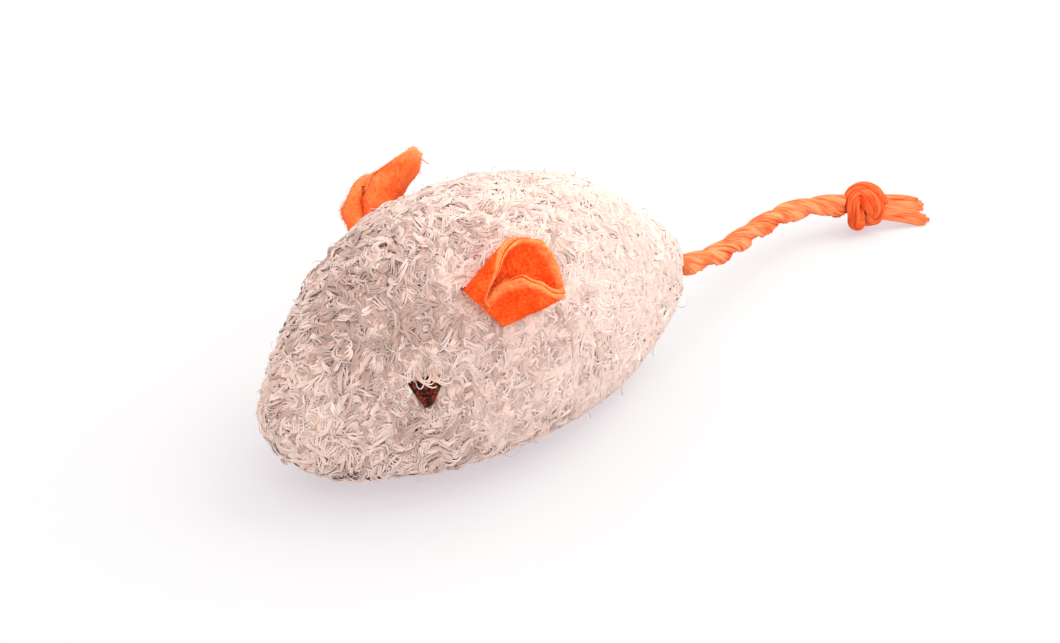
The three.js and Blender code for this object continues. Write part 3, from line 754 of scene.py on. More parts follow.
@dataclass(frozen=True)
class BodyForm:
    """The outside of the toy's body as a surface of two angles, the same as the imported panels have.

    along runs from 0 at the nose to PI at the tail. around is 0 on the spine, PI / 2 on the left flank,
    -PI / 2 on the right flank and PI under the belly. Half width, top and low edge are curves over along.
    """

    length: float = 62.0
    width: float = 31.5
    height: float = 32.0
    nose_height: float = 9.6
    tail_height: float = 11.5
    belly_cut: float = 0.5
    end_share: float = 1.3
    widest_share: float = 0.4
    low_power: float = 0.65
    stations: tuple[float, ...] = (0, 0.06, 0.16, 0.3, 0.45, 0.6, 0.75, 0.88, 1)
    half_width_shares: tuple[float, ...] = (0, 0.45, 0.71, 0.94, 1, 0.88, 0.63, 0.34, 0)
    top_shares: tuple[float, ...] = (0.53, 0.76, 0.94, 1, 0.98, 0.88, 0.68)
    low_shares: tuple[float, ...] = (0.1, 0.04, 0.01, 0, 0, 0.01, 0.09)
    belly_half_length: float = 23.0
    belly_half_width: float = 9.0
    tuft_step: float = 2.7
    head_tuft_depth: float = 0.9
    rear_tuft_depth: float = 0.45
    tuft_drift: float = 0.8
    tuft_waves: tuple[int, int] = (5, 6)
    tuft_fade: Span = (0.3, 0.65)
    end_fade: Span = (0.2, 0.5)
    belly_fade: Span = (0.6, 0.75)
    head_pile_depth: float = 0.75
    rear_pile_depth: float = 0.4
    pile_fade: Span = (0.9, 2.0)
    # Share of the length, degrees round the body and clearing of the ears and of both eyes
    sewn_places: tuple[Point, ...] = ((0.365, 53, 6.4), (0.23, 76, 3.8), (0.23, 66, 3.8))

    def station(self, share: float) -> float:
        """The angle along the body at a share of its length."""
        return math.acos(1 - 2 * share)

    def profile(self, values: Sequence[float], along: Array) -> Array:
        """One value's smooth curve through the stations."""
        return curve_through(np.arccos(1 - 2 * np.array(self.stations)), np.array(values, float), along)

    def behind(self, along: Array) -> Array:
        """How far places lie towards the combed rear pile: 0 on the head and 1 from the back on."""
        return ease(along, *self.pile_fade)

    def half_width(self, along: Array) -> Array:
        """Half the body's width at each angle along it."""
        return self.profile(np.array(self.half_width_shares) * self.width / 2, along)

    def point(self, along: Array, around: Array, inset: Array | float = 0.0) -> Array:
        """Points of the surface: the sine of around gives x, the cosine of along y and that of around z.

        Args:
            along: angles from the nose to the tail.
            around: angles round the body.
            inset: how far inside the outline. Each size is drawn in by its own share of it.

        Returns:
            The points, with x, y and z in the last column.
        """
        tops = np.array(self.top_shares) * self.height
        lows = np.array(self.low_shares) * self.height - self.belly_cut
        top = self.profile((self.nose_height, *tops, self.tail_height), along)
        low = self.profile((self.nose_height, *lows, self.tail_height), along)
        widest = mix(low, top, self.widest_share)
        rise = np.cos(around)
        upper = widest + (top - widest) * np.maximum(rise, 0)
        lower = widest - (widest - low) * np.maximum(-rise, 0) ** self.low_power
        z = np.where(rise < 0, lower, upper)
        x = self.half_width(along) * np.sin(around) * (1 - 2 * inset / self.width)
        y = -self.length / 2 * np.cos(along) * (1 - 2 * inset * self.end_share / self.length)
        z = self.height / 2 + (z - self.height / 2) * (1 - 2 * inset / self.height)
        return np.stack(np.broadcast_arrays(x, y, z), -1)

    def hollow(self, along: Array, around: Array) -> Array:
        """How far the pile's outside dips between its tufts.

        Tufts and hollows take turns at the corners of an even grid that drifts a little over the body. So
        the dip is half of 1 less the cosine of the row times the cosine of the column, times the depth.
        There is none at the nose, the tail, the belly, the ears and the eyes.

        Args:
            along: angles from the nose to the tail.
            around: angles round the body.

        Returns:
            The dip at each place, as an inset for point().
        """
        half = np.abs(wrapped(around))
        row_step = np.pi / round(np.pi / 2 * self.length / self.tuft_step)
        turn_step = np.pi / round(np.pi / 4 * (self.width + self.height) / self.tuft_step)
        row, turn = along, half
        turn_waves, row_waves = self.tuft_waves
        for _ in range(3):
            row = along - self.tuft_drift * row_step * np.sin(row) * np.sin(turn_waves * turn)
            turn = half - self.tuft_drift * turn_step * np.sin(turn) * np.sin(row_waves * row)
        dip = (1 - np.cos(np.pi * row / row_step) * np.cos(np.pi * turn / turn_step)) / 2
        depth = mix(self.head_tuft_depth, self.rear_tuft_depth, ease(along / np.pi, *self.tuft_fade))
        flat = ease(np.sin(along), *self.end_fade) * (1 - ease(half / np.pi, *self.belly_fade))
        place = self.point(along, half)
        for share, degrees, clearing in self.sewn_places:
            centre = self.point(np.array(self.station(share)), np.array(math.radians(degrees)))
            distance = np.linalg.norm(place - centre, axis=-1)
            flat = np.minimum(flat, ease(distance, clearing, clearing + self.tuft_step))
        return dip * depth * flat

    def under_pile(self, along: Array, around: Array, extra: Array | float = 0.0) -> Array:
        """Points of the cloth's face under the pile, tufts and hollows included, or extra deep below it."""
        depth = mix(self.head_pile_depth, self.rear_pile_depth, self.behind(along))
        return self.point(along, around, depth + extra + self.hollow(along, around))

    def frame(self, along: Array, around: Array) -> tuple[Array, Array, Array, Array, Array]:
        """The surface's own directions at each place, from differences over a small angle.

        Args:
            along: angles from the nose to the tail.
            around: angles round the body.

        Returns:
            The unit directions to the rear, further round and outwards, and how far one radian of along
            and of around reaches there.
        """
        step = 0.012
        rear = self.point(along + step, around) - self.point(along - step, around)
        down = self.point(along, around + step) - self.point(along, around - step)
        reach = [np.linalg.norm(way, axis=-1) / (2 * step) for way in (rear, down)]
        return unit(rear), unit(down), unit(np.cross(down, rear)), *reach

    def belly_edge(self, along: Array) -> Array:
        """Where the belly panel's leaf outline starts.

        Args:
            along: angles along the body.

        Returns:
            The angle round the body at each, PI where there is no panel.
        """
        y = self.length / 2 * np.cos(along)
        half = self.belly_half_width * np.sqrt(np.maximum(1 - (y / self.belly_half_length) ** 2, 0))
        sine = np.clip(half / np.maximum(self.half_width(along), 1e-3), 0, 1)
        return np.pi - np.arcsin(sine)


@dataclass
class StuffedBody:
    """The cloth panels, the filling inside them and the threads that sew them together."""

    form: BodyForm
    cloth_depth: float = 2.6
    seam_dip: float = 0.5
    seam_dip_share: float = 0.06
    lump_height: float = 0.12
    lump_size: float = 3.5
    face_floor: float = 0.25
    back_floor: float = 1.5
    panel_margin: float = 0.03
    belly_margin: float = 0.01
    seam_gap: float = 0.15
    seam_depth: float = 1.8
    seam_end_share: float = 0.1
    filling_depth: float = 3.2
    filling_end: float = 23.6
    filling_floor: float = 2.8
    filling_margin: float = 0.08
    filling_lumps: float = 0.35
    fill_share: float = 0.85
    stitch_pitch: float = 2.4
    stitch_radius: float = 0.42
    thread_width: float = 0.34
    points_per_mm: int = 6
    core_share: float = 5 / 12
    rows: int = 120
    columns: int = 60

    def panel_surface(self, around: Array, along: Array) -> Surface:
        """A panel between two grids: the ground's face under the pile and its back on the filling.

        The face is lumpy and dips at its edges by a bell curve, where the seam pulls it in.

        Args:
            around: the angle round the body at each point of the grid.
            along: the angle along the body at each point of the grid.

        Returns:
            The closed panel.
        """
        across = np.linspace(-1, 1, around.shape[1])[None, :]
        dip = self.seam_dip * np.exp(-(((1 - np.abs(across)) / self.seam_dip_share) ** 2))
        lumps = self.lump_height * Waves(3, self.lump_size).at(self.form.point(along, around))
        face = self.form.under_pile(along, around, dip + lumps)
        back = self.form.point(along, around, self.cloth_depth)
        for grid, floor in ((face, self.face_floor), (back, self.back_floor)):
            grid[..., 2] = np.maximum(grid[..., 2], floor)
        return shell(face, back)

    def side_panel(self) -> Surface:
        """The left panel, from the spine down to the belly seam."""
        along = np.linspace(self.panel_margin, np.pi - self.panel_margin, self.rows)[:, None]
        start = np.arcsin(np.clip(self.seam_gap / self.form.half_width(along), 0, 0.4))
        end = np.minimum(self.form.belly_edge(along) - 2 * self.belly_margin, np.pi - start)
        around = mix(start, end, np.linspace(0, 1, self.columns)[None, :])
        return self.panel_surface(around, np.broadcast_to(along, around.shape))

    def belly_panel(self) -> Surface:
        """The leaf-shaped panel under the body."""
        reach = math.acos(self.form.belly_half_length / (self.form.length / 2)) + self.belly_margin
        along = np.linspace(reach, np.pi - reach, self.rows)[:, None]
        edge = self.form.belly_edge(along) + self.belly_margin
        around = mix(edge, 2 * np.pi - edge, np.linspace(0, 1, self.columns)[None, :])
        return self.panel_surface(around, np.broadcast_to(along, around.shape))

    def filling(self) -> Surface:
        """Wadding that fills the panels, flat where the tail's knot lies behind it."""
        shape = (self.rows // 2, self.columns)
        along = np.linspace(self.filling_margin, np.pi - self.filling_margin, shape[0])[:, None]
        around = np.linspace(0, 2 * np.pi, shape[1], endpoint=False)[None, :]
        lumps = self.filling_lumps * np.abs(Waves(5, 5.0).at(self.form.point(along, around)))
        rings = self.form.point(along, around, self.filling_depth + lumps)
        rings[..., 1] = np.minimum(rings[..., 1], self.filling_end + 0.02 * along)
        rings[..., 2] = np.maximum(rings[..., 2], self.filling_floor)
        places = columns(shape, np.linspace(0, 1, shape[0])[:, None], np.linspace(0, 1, shape[1]))
        return tubes(rings[None], places[None])

    def belly_line(self, side: Side) -> Array:
        """The belly seam's line in the cloth, over the belly panel's outline.

        Args:
            side: which of the two seams.

        Returns:
            Points of the line.
        """
        turn = np.pi * np.linspace(self.seam_end_share, 1 - self.seam_end_share, 60)
        x = (self.form.belly_half_width + self.seam_gap) * np.sin(turn)
        y = (self.form.belly_half_length + self.seam_gap) * np.cos(turn)
        along = np.arccos(np.clip(y / (self.form.length / 2), -1, 1))
        sine = np.clip(x / self.form.half_width(along), 0, 1)
        return self.form.point(along, np.pi - np.arcsin(sine), self.seam_depth) * [side.value, 1, 1]

    def chin(self) -> float:
        """The angle along the body where the seam in the middle meets the belly panel."""
        return math.acos((self.form.belly_half_length + self.seam_depth) / (self.form.length / 2))

    def spine_line(self) -> Array:
        """The seam from under the chin round the nose and over the spine to the rump."""
        under = np.linspace(self.chin(), 0.02, 12)
        over = np.linspace(0.02, np.pi * (1 - self.seam_end_share), 100)
        lower = self.form.point(under, np.full(under.shape, np.pi), self.seam_depth)
        upper = self.form.point(over, np.zeros(over.shape), self.seam_depth)
        return np.concatenate([lower, upper])

    def rump_line(self) -> Array:
        """The closing seam from the belly panel up to the tail."""
        along = np.linspace(np.pi * (1 - self.seam_end_share), np.pi - self.chin(), 16)
        return self.form.point(along, np.full(along.shape, np.pi), self.seam_depth)

    def stitches(self, line: Array) -> Surface:
        """A whip stitch along a seam: the thread winds round the seam's line once every pitch.

        Args:
            line: points of the seam's line.

        Returns:
            The thread.
        """
        lengths = along_line(line)
        travel = np.linspace(0, lengths[-1], int(lengths[-1] * self.points_per_mm))
        centre = np.stack([np.interp(travel, lengths, line[:, k]) for k in range(3)], -1)
        tangents = unit(np.gradient(centre, axis=0))
        outwards = centre * [1, 0, 1] - self.core_share * self.form.height * UP
        # A small push off the middle plane keeps the directions apart where the seam runs straight up
        across = unit(np.cross(tangents, unit(outwards) + [1e-3, 0, 2e-3]))
        front = np.cross(across, tangents)
        turn = (2 * np.pi * travel / self.stitch_pitch)[:, None]
        path = centre + self.stitch_radius * (np.cos(turn) * across + np.sin(turn) * front)
        return threads(path[None], front[None], self.thread_width, 6, [0.5], 0.3)

    def build(self) -> None:
        """Makes the panels, the filling and the seams and gives them to the body."""
        padded = {
            "left_cloth_panel": (self.side_panel(), GROUND, "left_side_panel"),
            "right_cloth_panel": (self.side_panel().on(Side.RIGHT), GROUND, "right_side_panel"),
            "belly_cloth_panel": (self.belly_panel(), GROUND, "belly_panel"),
            "fibre_wadding": (self.filling(), WADDING, "fibre_filling"),
        }
        for name, (surface, finish, node) in padded.items():
            surface.piece(name, finish, "body", node, own_places=False)
        seams = {
            "spine_seam": self.spine_line(),
            "rump_seam": self.rump_line(),
            "left_belly_seam": self.belly_line(Side.LEFT),
            "right_belly_seam": self.belly_line(Side.RIGHT),
        }
        for name, line in seams.items():
            self.stitches(line).piece(name + "_stitches", THREAD, "body", name + "_thread")


@dataclass
class EarPlace:
    """Where one ear is sewn on and which way it stands, worked out as if on the left."""

    form: BodyForm
    direction: Point
    station_share: float = 0.363
    degrees: float = 52.0
    base_direction: Point = (0.51, 0.52, -0.68)
    fold_radius: float = 1.0
    sunk: float = 0.75
    slope: float = field(init=False)
    rise: Array = field(init=False)
    cup: Array = field(init=False)
    across: Array = field(init=False)
    out: Array = field(init=False)
    foot: Array = field(init=False)
    pivot: Array = field(init=False)

    def __post_init__(self) -> None:
        """Works out the leaf's axes and its fold line from the body's surface."""
        along = np.array(self.form.station(self.station_share))
        around = np.array(math.radians(self.degrees))
        base = np.array(self.base_direction)
        self.out = self.form.frame(along, around)[2]
        self.rise = unit(np.array(self.direction))
        self.cup = unit(np.cross(base, self.rise))
        self.across = unit(np.cross(self.rise, self.cup))
        self.slope = (base @ self.rise) / (base @ self.across)
        self.foot = self.form.point(along, around)
        self.pivot = self.foot - self.sunk * self.out + self.fold_radius * self.cup


@dataclass
class FeltEar:
    """One ear: a round-ended leaf of felt, folded in at both sides, with its fuzz and its stitch."""

    place: EarPlace
    side: Side
    length: float = 10.1
    base_width: float = 5.4
    spread_width: float = 9.6
    front_radius: float = 1.7
    rear_radius: float = 0.8
    front_flap: float = 2.1
    rear_flap: float = 4.2
    rear_base_flap: float = 3.2
    thickness: float = 1.1
    base_fold: float = 168.0
    tip_fold: float = 45.0
    fold_power: float = 4.0
    # Drops of the front edge: how far, and between which shares across
    slants: tuple[Point, ...] = ((0.92, 0.22, 0.92),)
    round_drop: float = 0.45
    round_power: float = 1.6
    # The front flap's share at the base, halfway and at the end
    flap_shares: Point = (0.7, 1.35, 1.0)
    dent: float = 0.0
    # Where the dent's crease runs on the front arc at the base and at its rise, its width and its end
    crease_turns: Span = (0.85, 2.0)
    crease_rise: float = 0.36
    crease_width: float = 0.4
    crease_fade: Span = (0.3, 0.6)
    pinch_share: float = 0.85
    wobble: float = 0.1
    # How near its free edge the felt thins, at the sides and at the end
    edge_rises: Span = (9.0, 10.0)
    edge_reach: float = 0.45
    edge_thinning: float = 0.8
    # Matted lumps of each face: seed, size and height
    front_lumps: tuple[Point, ...] = ((37, 0.9, 0.02), (41, 0.5, 0.012))
    back_lumps: tuple[Point, ...] = ((43, 0.8, 0.02),)
    rows: int = 44
    columns: int = 96
    fuzz_count: int = 1200
    fuzz_width: float = 0.045
    stitch_width: float = 0.27
    ply_offset: float = 0.13
    sink: float = 0.0
    setback: float = 0.0
    felt_finish: FeltFinish = FELT

    @property
    def name(self) -> str:
        """The ear's name, by its side."""
        return self.side.name.lower() + "_ear"

    def leaf(self, up: Array, over: Array) -> Array:
        """Points of the felt's middle sheet.

        Across the leaf the sheet is flat in the middle, turns through the fold angle on an arc beside it
        and ends in a straight flap. The front flap lies over the rear one. The fold angle falls and the
        flat middle widens towards the tip. The leaf's end is cut slanting at the front and round behind.

        Args:
            up: the share of the leaf's height, from 0 at the base to 1 at its end.
            over: the place across, from -1 at the front edge to 1 at the rear edge.

        Returns:
            The points.
        """
        front = over < 0
        reach = np.abs(over)
        slant = 1 - sum(drop * ease(reach, first, last) for drop, first, last in self.slants)
        round_end = 1 - self.round_drop * reach**self.round_power
        share = up * np.where(front, slant, round_end)
        pinch = mix(self.pinch_share, 1, ease(share, 0, 0.17))
        radius = np.where(front, self.front_radius * pinch, self.rear_radius)
        low, middle, high = self.flap_shares
        swell = low + (middle - low) * ease(share, 0, 0.5) + (high - middle) * ease(share, 0.5, 1)
        rear_flap = mix(self.rear_base_flap, self.rear_flap, ease(share, 0, 0.35))
        flap = np.where(front, self.front_flap * swell, rear_flap)
        flat = mix(self.base_width, self.spread_width, share) / 2 - radius
        angle = np.radians(mix(self.base_fold, self.tip_fold, share**self.fold_power))
        distance = reach * (flat + angle * radius + flap)
        arc = np.minimum(np.maximum(distance - flat, 0) / radius, angle)
        rest = np.maximum(distance - flat - angle * radius, 0)
        sideways = np.minimum(distance, flat) + radius * np.sin(arc) + rest * np.cos(angle)
        place = self.place
        inwards = radius * (1 - np.cos(arc)) + rest * np.sin(angle) - place.fold_radius - self.setback
        turned = mix(*self.crease_turns, share / self.crease_rise)
        crease = np.exp(-(((arc - turned) / self.crease_width) ** 2)) * (1 - ease(share, *self.crease_fade))
        sideways = np.sign(over) * (sideways - self.dent * crease * front)
        rise = self.length * share + sideways * place.slope * (1 - share) ** 3 - self.sink
        axes = np.stack([place.rise, place.across, place.cup])
        return place.pivot + np.stack([rise, sideways, inwards], -1) @ axes

    def sheet(self) -> tuple[Array, Array, Array]:
        """The felt's grid: its middle sheet, its normals and how far from the free edge each point is."""
        up = np.linspace(0, 1, self.rows) ** 0.8
        over = np.sin(np.linspace(-np.pi / 2, np.pi / 2, self.columns))
        up, over = np.meshgrid(up, over, indexing="ij")
        middle = self.leaf(up, over)
        normals = unit(np.cross(np.gradient(middle, axis=1), np.gradient(middle, axis=0)))
        waves = Waves(31 + self.side.value, 3.2).at(middle)[..., None]
        edge = np.minimum((1 - np.abs(over)) * self.edge_rises[0], (1 - up) * self.edge_rises[1])
        return middle + self.wobble * waves * normals, normals, edge

    def felt(self) -> Surface:
        """The leaf at its full thickness, thinner and rounded at its free edge, with matted lumps."""
        middle, normals, edge = self.sheet()
        near = np.clip(edge / self.edge_reach, 0, 1)
        half = self.thickness / 2 * np.sqrt(1 - (1 - near) ** 2 * self.edge_thinning)
        front, back = (
            half + sum(height * Waves(seed, size).at(middle) for seed, size, height in lumps)
            for lumps in (self.front_lumps, self.back_lumps)
        )
        return shell(middle + front[..., None] * normals, middle - back[..., None] * normals)

    def fuzz(self) -> Surface:
        """Short loose fibres on both faces and thickest along the free edge.

        Each fibre leans from the face by a random share and bends with the square of its own share.
        """
        random = np.random.default_rng(53 + self.side.value)
        count = self.fuzz_count
        on_edge = random.random(count) < 0.3
        up = np.where(on_edge, 1 - np.abs(random.normal(0, 0.03, count)), random.uniform(0.12, 1, count))
        over = random.uniform(-1, 1, count)
        flap_edge = on_edge & (random.random(count) < 0.45)
        up = np.where(flap_edge, random.uniform(0.1, 1, count), up)
        inset = np.abs(random.normal(0, 0.01, count))
        over = np.where(flap_edge, np.sign(over) * (1 - inset), over)
        over, up = np.clip(over, -1, 1), np.clip(up, 0, 1)
        step = 0.01
        centre = self.leaf(up, over)
        along = unit(centre - self.leaf(up - step, over))
        after, before = (self.leaf(up, np.clip(over + way, -1, 1)) for way in (step, -step))
        beside = unit(after - before)
        facing = np.where(random.random(count) < 0.5, 1, -1)[:, None]
        normal = unit(np.cross(beside, along)) * facing
        lean = random.uniform(0, 2 * np.pi, count)[:, None]
        lift = random.uniform(0.1, 0.8, (count, 1)) * normal
        way = unit(np.cos(lean) * along + np.sin(lean) * beside + lift)
        length = random.uniform(0.3, 0.9, (count, 1))
        share = np.linspace(0, 1, 4)[None, :, None]
        bend = random.normal(0, 0.5, (count, 3)) * length * 0.3
        start = centre + normal * self.thickness * 0.42
        path = start[:, None] + (way * length)[:, None] * share + bend[:, None] * share**2
        size = self.fuzz_width * np.array([1, 0.9, 0.7, 0.4])
        return threads(path, normal[:, None] + 0.01, size, 3, random.random(count))

    def loose_fibre(self) -> Surface:
        """The single long fibre that hangs off the leaf's tip."""
        share = np.linspace(0, 1, 10)[:, None]
        way = unit(np.array([-0.7, 0.56, -0.43]))
        tips = self.leaf(np.full(21, 0.97), np.linspace(-0.5, 0.5, 21))
        tip = tips[np.argmax(tips @ (way + self.place.rise))]
        path = tip + (share * 2.2 - 0.6) * way + np.sin(share * 3) * 0.1 * self.place.rise
        return threads(path[None], self.place.rise, 0.1, 4, [0.0])

    def stitch(self) -> Surface:
        """The two-ply thread that comes up beside both corners of the base and runs under the cloth."""
        half = self.base_width / 2 + self.thickness / 2 - 0.35
        top = 2 * self.front_radius * self.pinch_share - 1.8
        route = np.array([
            (-half + 0.4, top), (-half + 0.2, top), (-half, 0.0), (-half, -2.0), (-half / 2, -4.0),
            (half / 2, -4.0), (half, -2.0), (half - 0.3, 0.0),
        ])
        flat = through(route, 60)
        travel = np.linspace(0, len(route) - 1, len(flat))
        place = self.place
        centre = place.foot + flat @ np.stack([place.across + place.slope * place.rise, place.out])
        tangents = unit(np.gradient(centre, axis=0))
        front = np.broadcast_to(place.cup, centre.shape)
        beside = unit(np.cross(front, tangents))
        above = np.cross(tangents, beside)
        turns = [(travel * 5 + lag)[:, None] for lag in (0, np.pi)]
        plies = np.stack([centre + self.ply_offset * (np.cos(t) * beside + np.sin(t) * above) for t in turns])
        return threads(plies, front, self.stitch_width, 6, [0.2, 0.45], 0.08)

    def build(self) -> None:
        """Makes the leaf, its fuzz and its stitch, and gives each to its body."""
        name = self.name
        self.felt().on(self.side).piece(name + "_felt", self.felt_finish, name, name, own_places=False)
        loose = [self.fuzz()]
        if self.side is Side.RIGHT:
            loose.append(self.loose_fibre())
        Surface.joined(loose).on(self.side).piece(name + "_fuzz", FUZZ, name)
        self.stitch().on(self.side).piece(name + "_stitch_thread", EYE_THREAD, "body", name + "_stitch")


@dataclass
class StitchedEye:
    """One eye: a fan of satin stitches over a three-cornered pad, with its knot inside the body."""

    form: BodyForm
    side: Side
    degrees: float
    station_share: float = 0.23
    width: float = 4.1
    height: float = 3.5
    thread_width: float = 0.44
    upper_count: int = 11
    lower_count: int = 8
    lower_span: float = 0.82
    top_span: float = 0.46
    bottom_span: float = 0.1
    end_depth: float = 0.95
    layer_height: float = 0.24

    def axes(self) -> tuple[Array, Array, Array, Array]:
        """The eye's middle and its directions across, down and outwards, as if on the left."""
        along = np.array(self.form.station(self.station_share))
        around = np.array(math.radians(self.degrees))
        _, down, out, _, _ = self.form.frame(along, around)
        return self.form.point(along, around), unit(np.cross(down, out)), down, out

    def contains(self, points: Array, growth: float) -> Array:
        """Whether each point lies within the triangle, grown by a margin, seen from outside.

        Args:
            points: points on the mouse's left side or mirrored to it.
            growth: the margin.

        Returns:
            True for each point within.
        """
        middle, across, down, out = self.axes()
        local = points - middle
        x, y, depth = local @ across, local @ down, local @ out
        share = np.clip((y + self.height / 2) / self.height, 0, 1)
        half = self.width / 2 * (1 - share)
        return (np.abs(x) < half + growth) & (np.abs(y) < self.height / 2 + growth) & (np.abs(depth) < 4)

    def fan(self) -> Surface:
        """Threads from the top edge to the bottom corner, in an under and an over layer."""
        random = np.random.default_rng(71 + self.side.value)
        middle, across, down, out = self.axes()
        count = self.upper_count + self.lower_count
        layer = np.arange(count) >= self.upper_count
        rows = ((1.0, self.upper_count), (self.lower_span, self.lower_count))
        even = np.concatenate([np.linspace(-span, span, number) for span, number in rows])
        top = columns((count,), even * self.width * self.top_span, random.normal(0, 0.1, count))
        top[:, 1] -= self.height / 2
        reach = np.where(layer, random.uniform(0.18, 0.44, count), random.uniform(0.3, 0.44, count))
        aside = even * self.width * self.bottom_span + random.normal(0, 0.08, count)
        bottom = columns((count,), aside, reach * self.height)
        share = np.linspace(0, 1, 14)[None, :, None]
        flat = mix(top[:, None], bottom[:, None], share)
        crown = np.sin(np.pi * share[..., 0]) ** 0.45
        layers = self.layer_height * layer[:, None] + random.normal(0, 0.05, (count, 1))
        height = mix(-self.end_depth, 0.02, crown) + layers
        path = middle + flat[..., :1] * across + flat[..., 1:] * down + height[..., None] * out
        # Painted highlight: threads towards the rear, where the light comes from, are paler and redder.
        tints = np.clip(0.2 - 0.12 * even + random.normal(0, 0.2, count), 0, 0.95)
        return threads(path, out, self.thread_width * mix(0.8, 1.0, crown), 8, tints, 0.03, 0.8)

    def hidden(self) -> Surface:
        """The pad under the stitches, the thread through the cloth and its knot, as rings round one line."""
        middle, across, _, out = self.axes()
        depths = np.array([-0.15, -0.35, -0.8, -1.0, -1.05, -2.6, -3.8, -4.2, -4.6, -5.1, -5.4])
        sizes = np.array([0.9, 1.5, 1.5, 1.1, 0.5, 0.5, 0.5, 1.4, 1.9, 1.4, 0.5])
        return threads((middle + depths[:, None] * out)[None], across, sizes, 12, [0.1], 0.05)

    def build(self) -> None:
        """Makes the eye and gives it to the body."""
        name = self.side.name.lower() + "_eye"
        whole = Surface.joined([self.fan(), self.hidden()]).on(self.side)
        whole.piece(name + "_stitches", EYE_THREAD, "body", name)


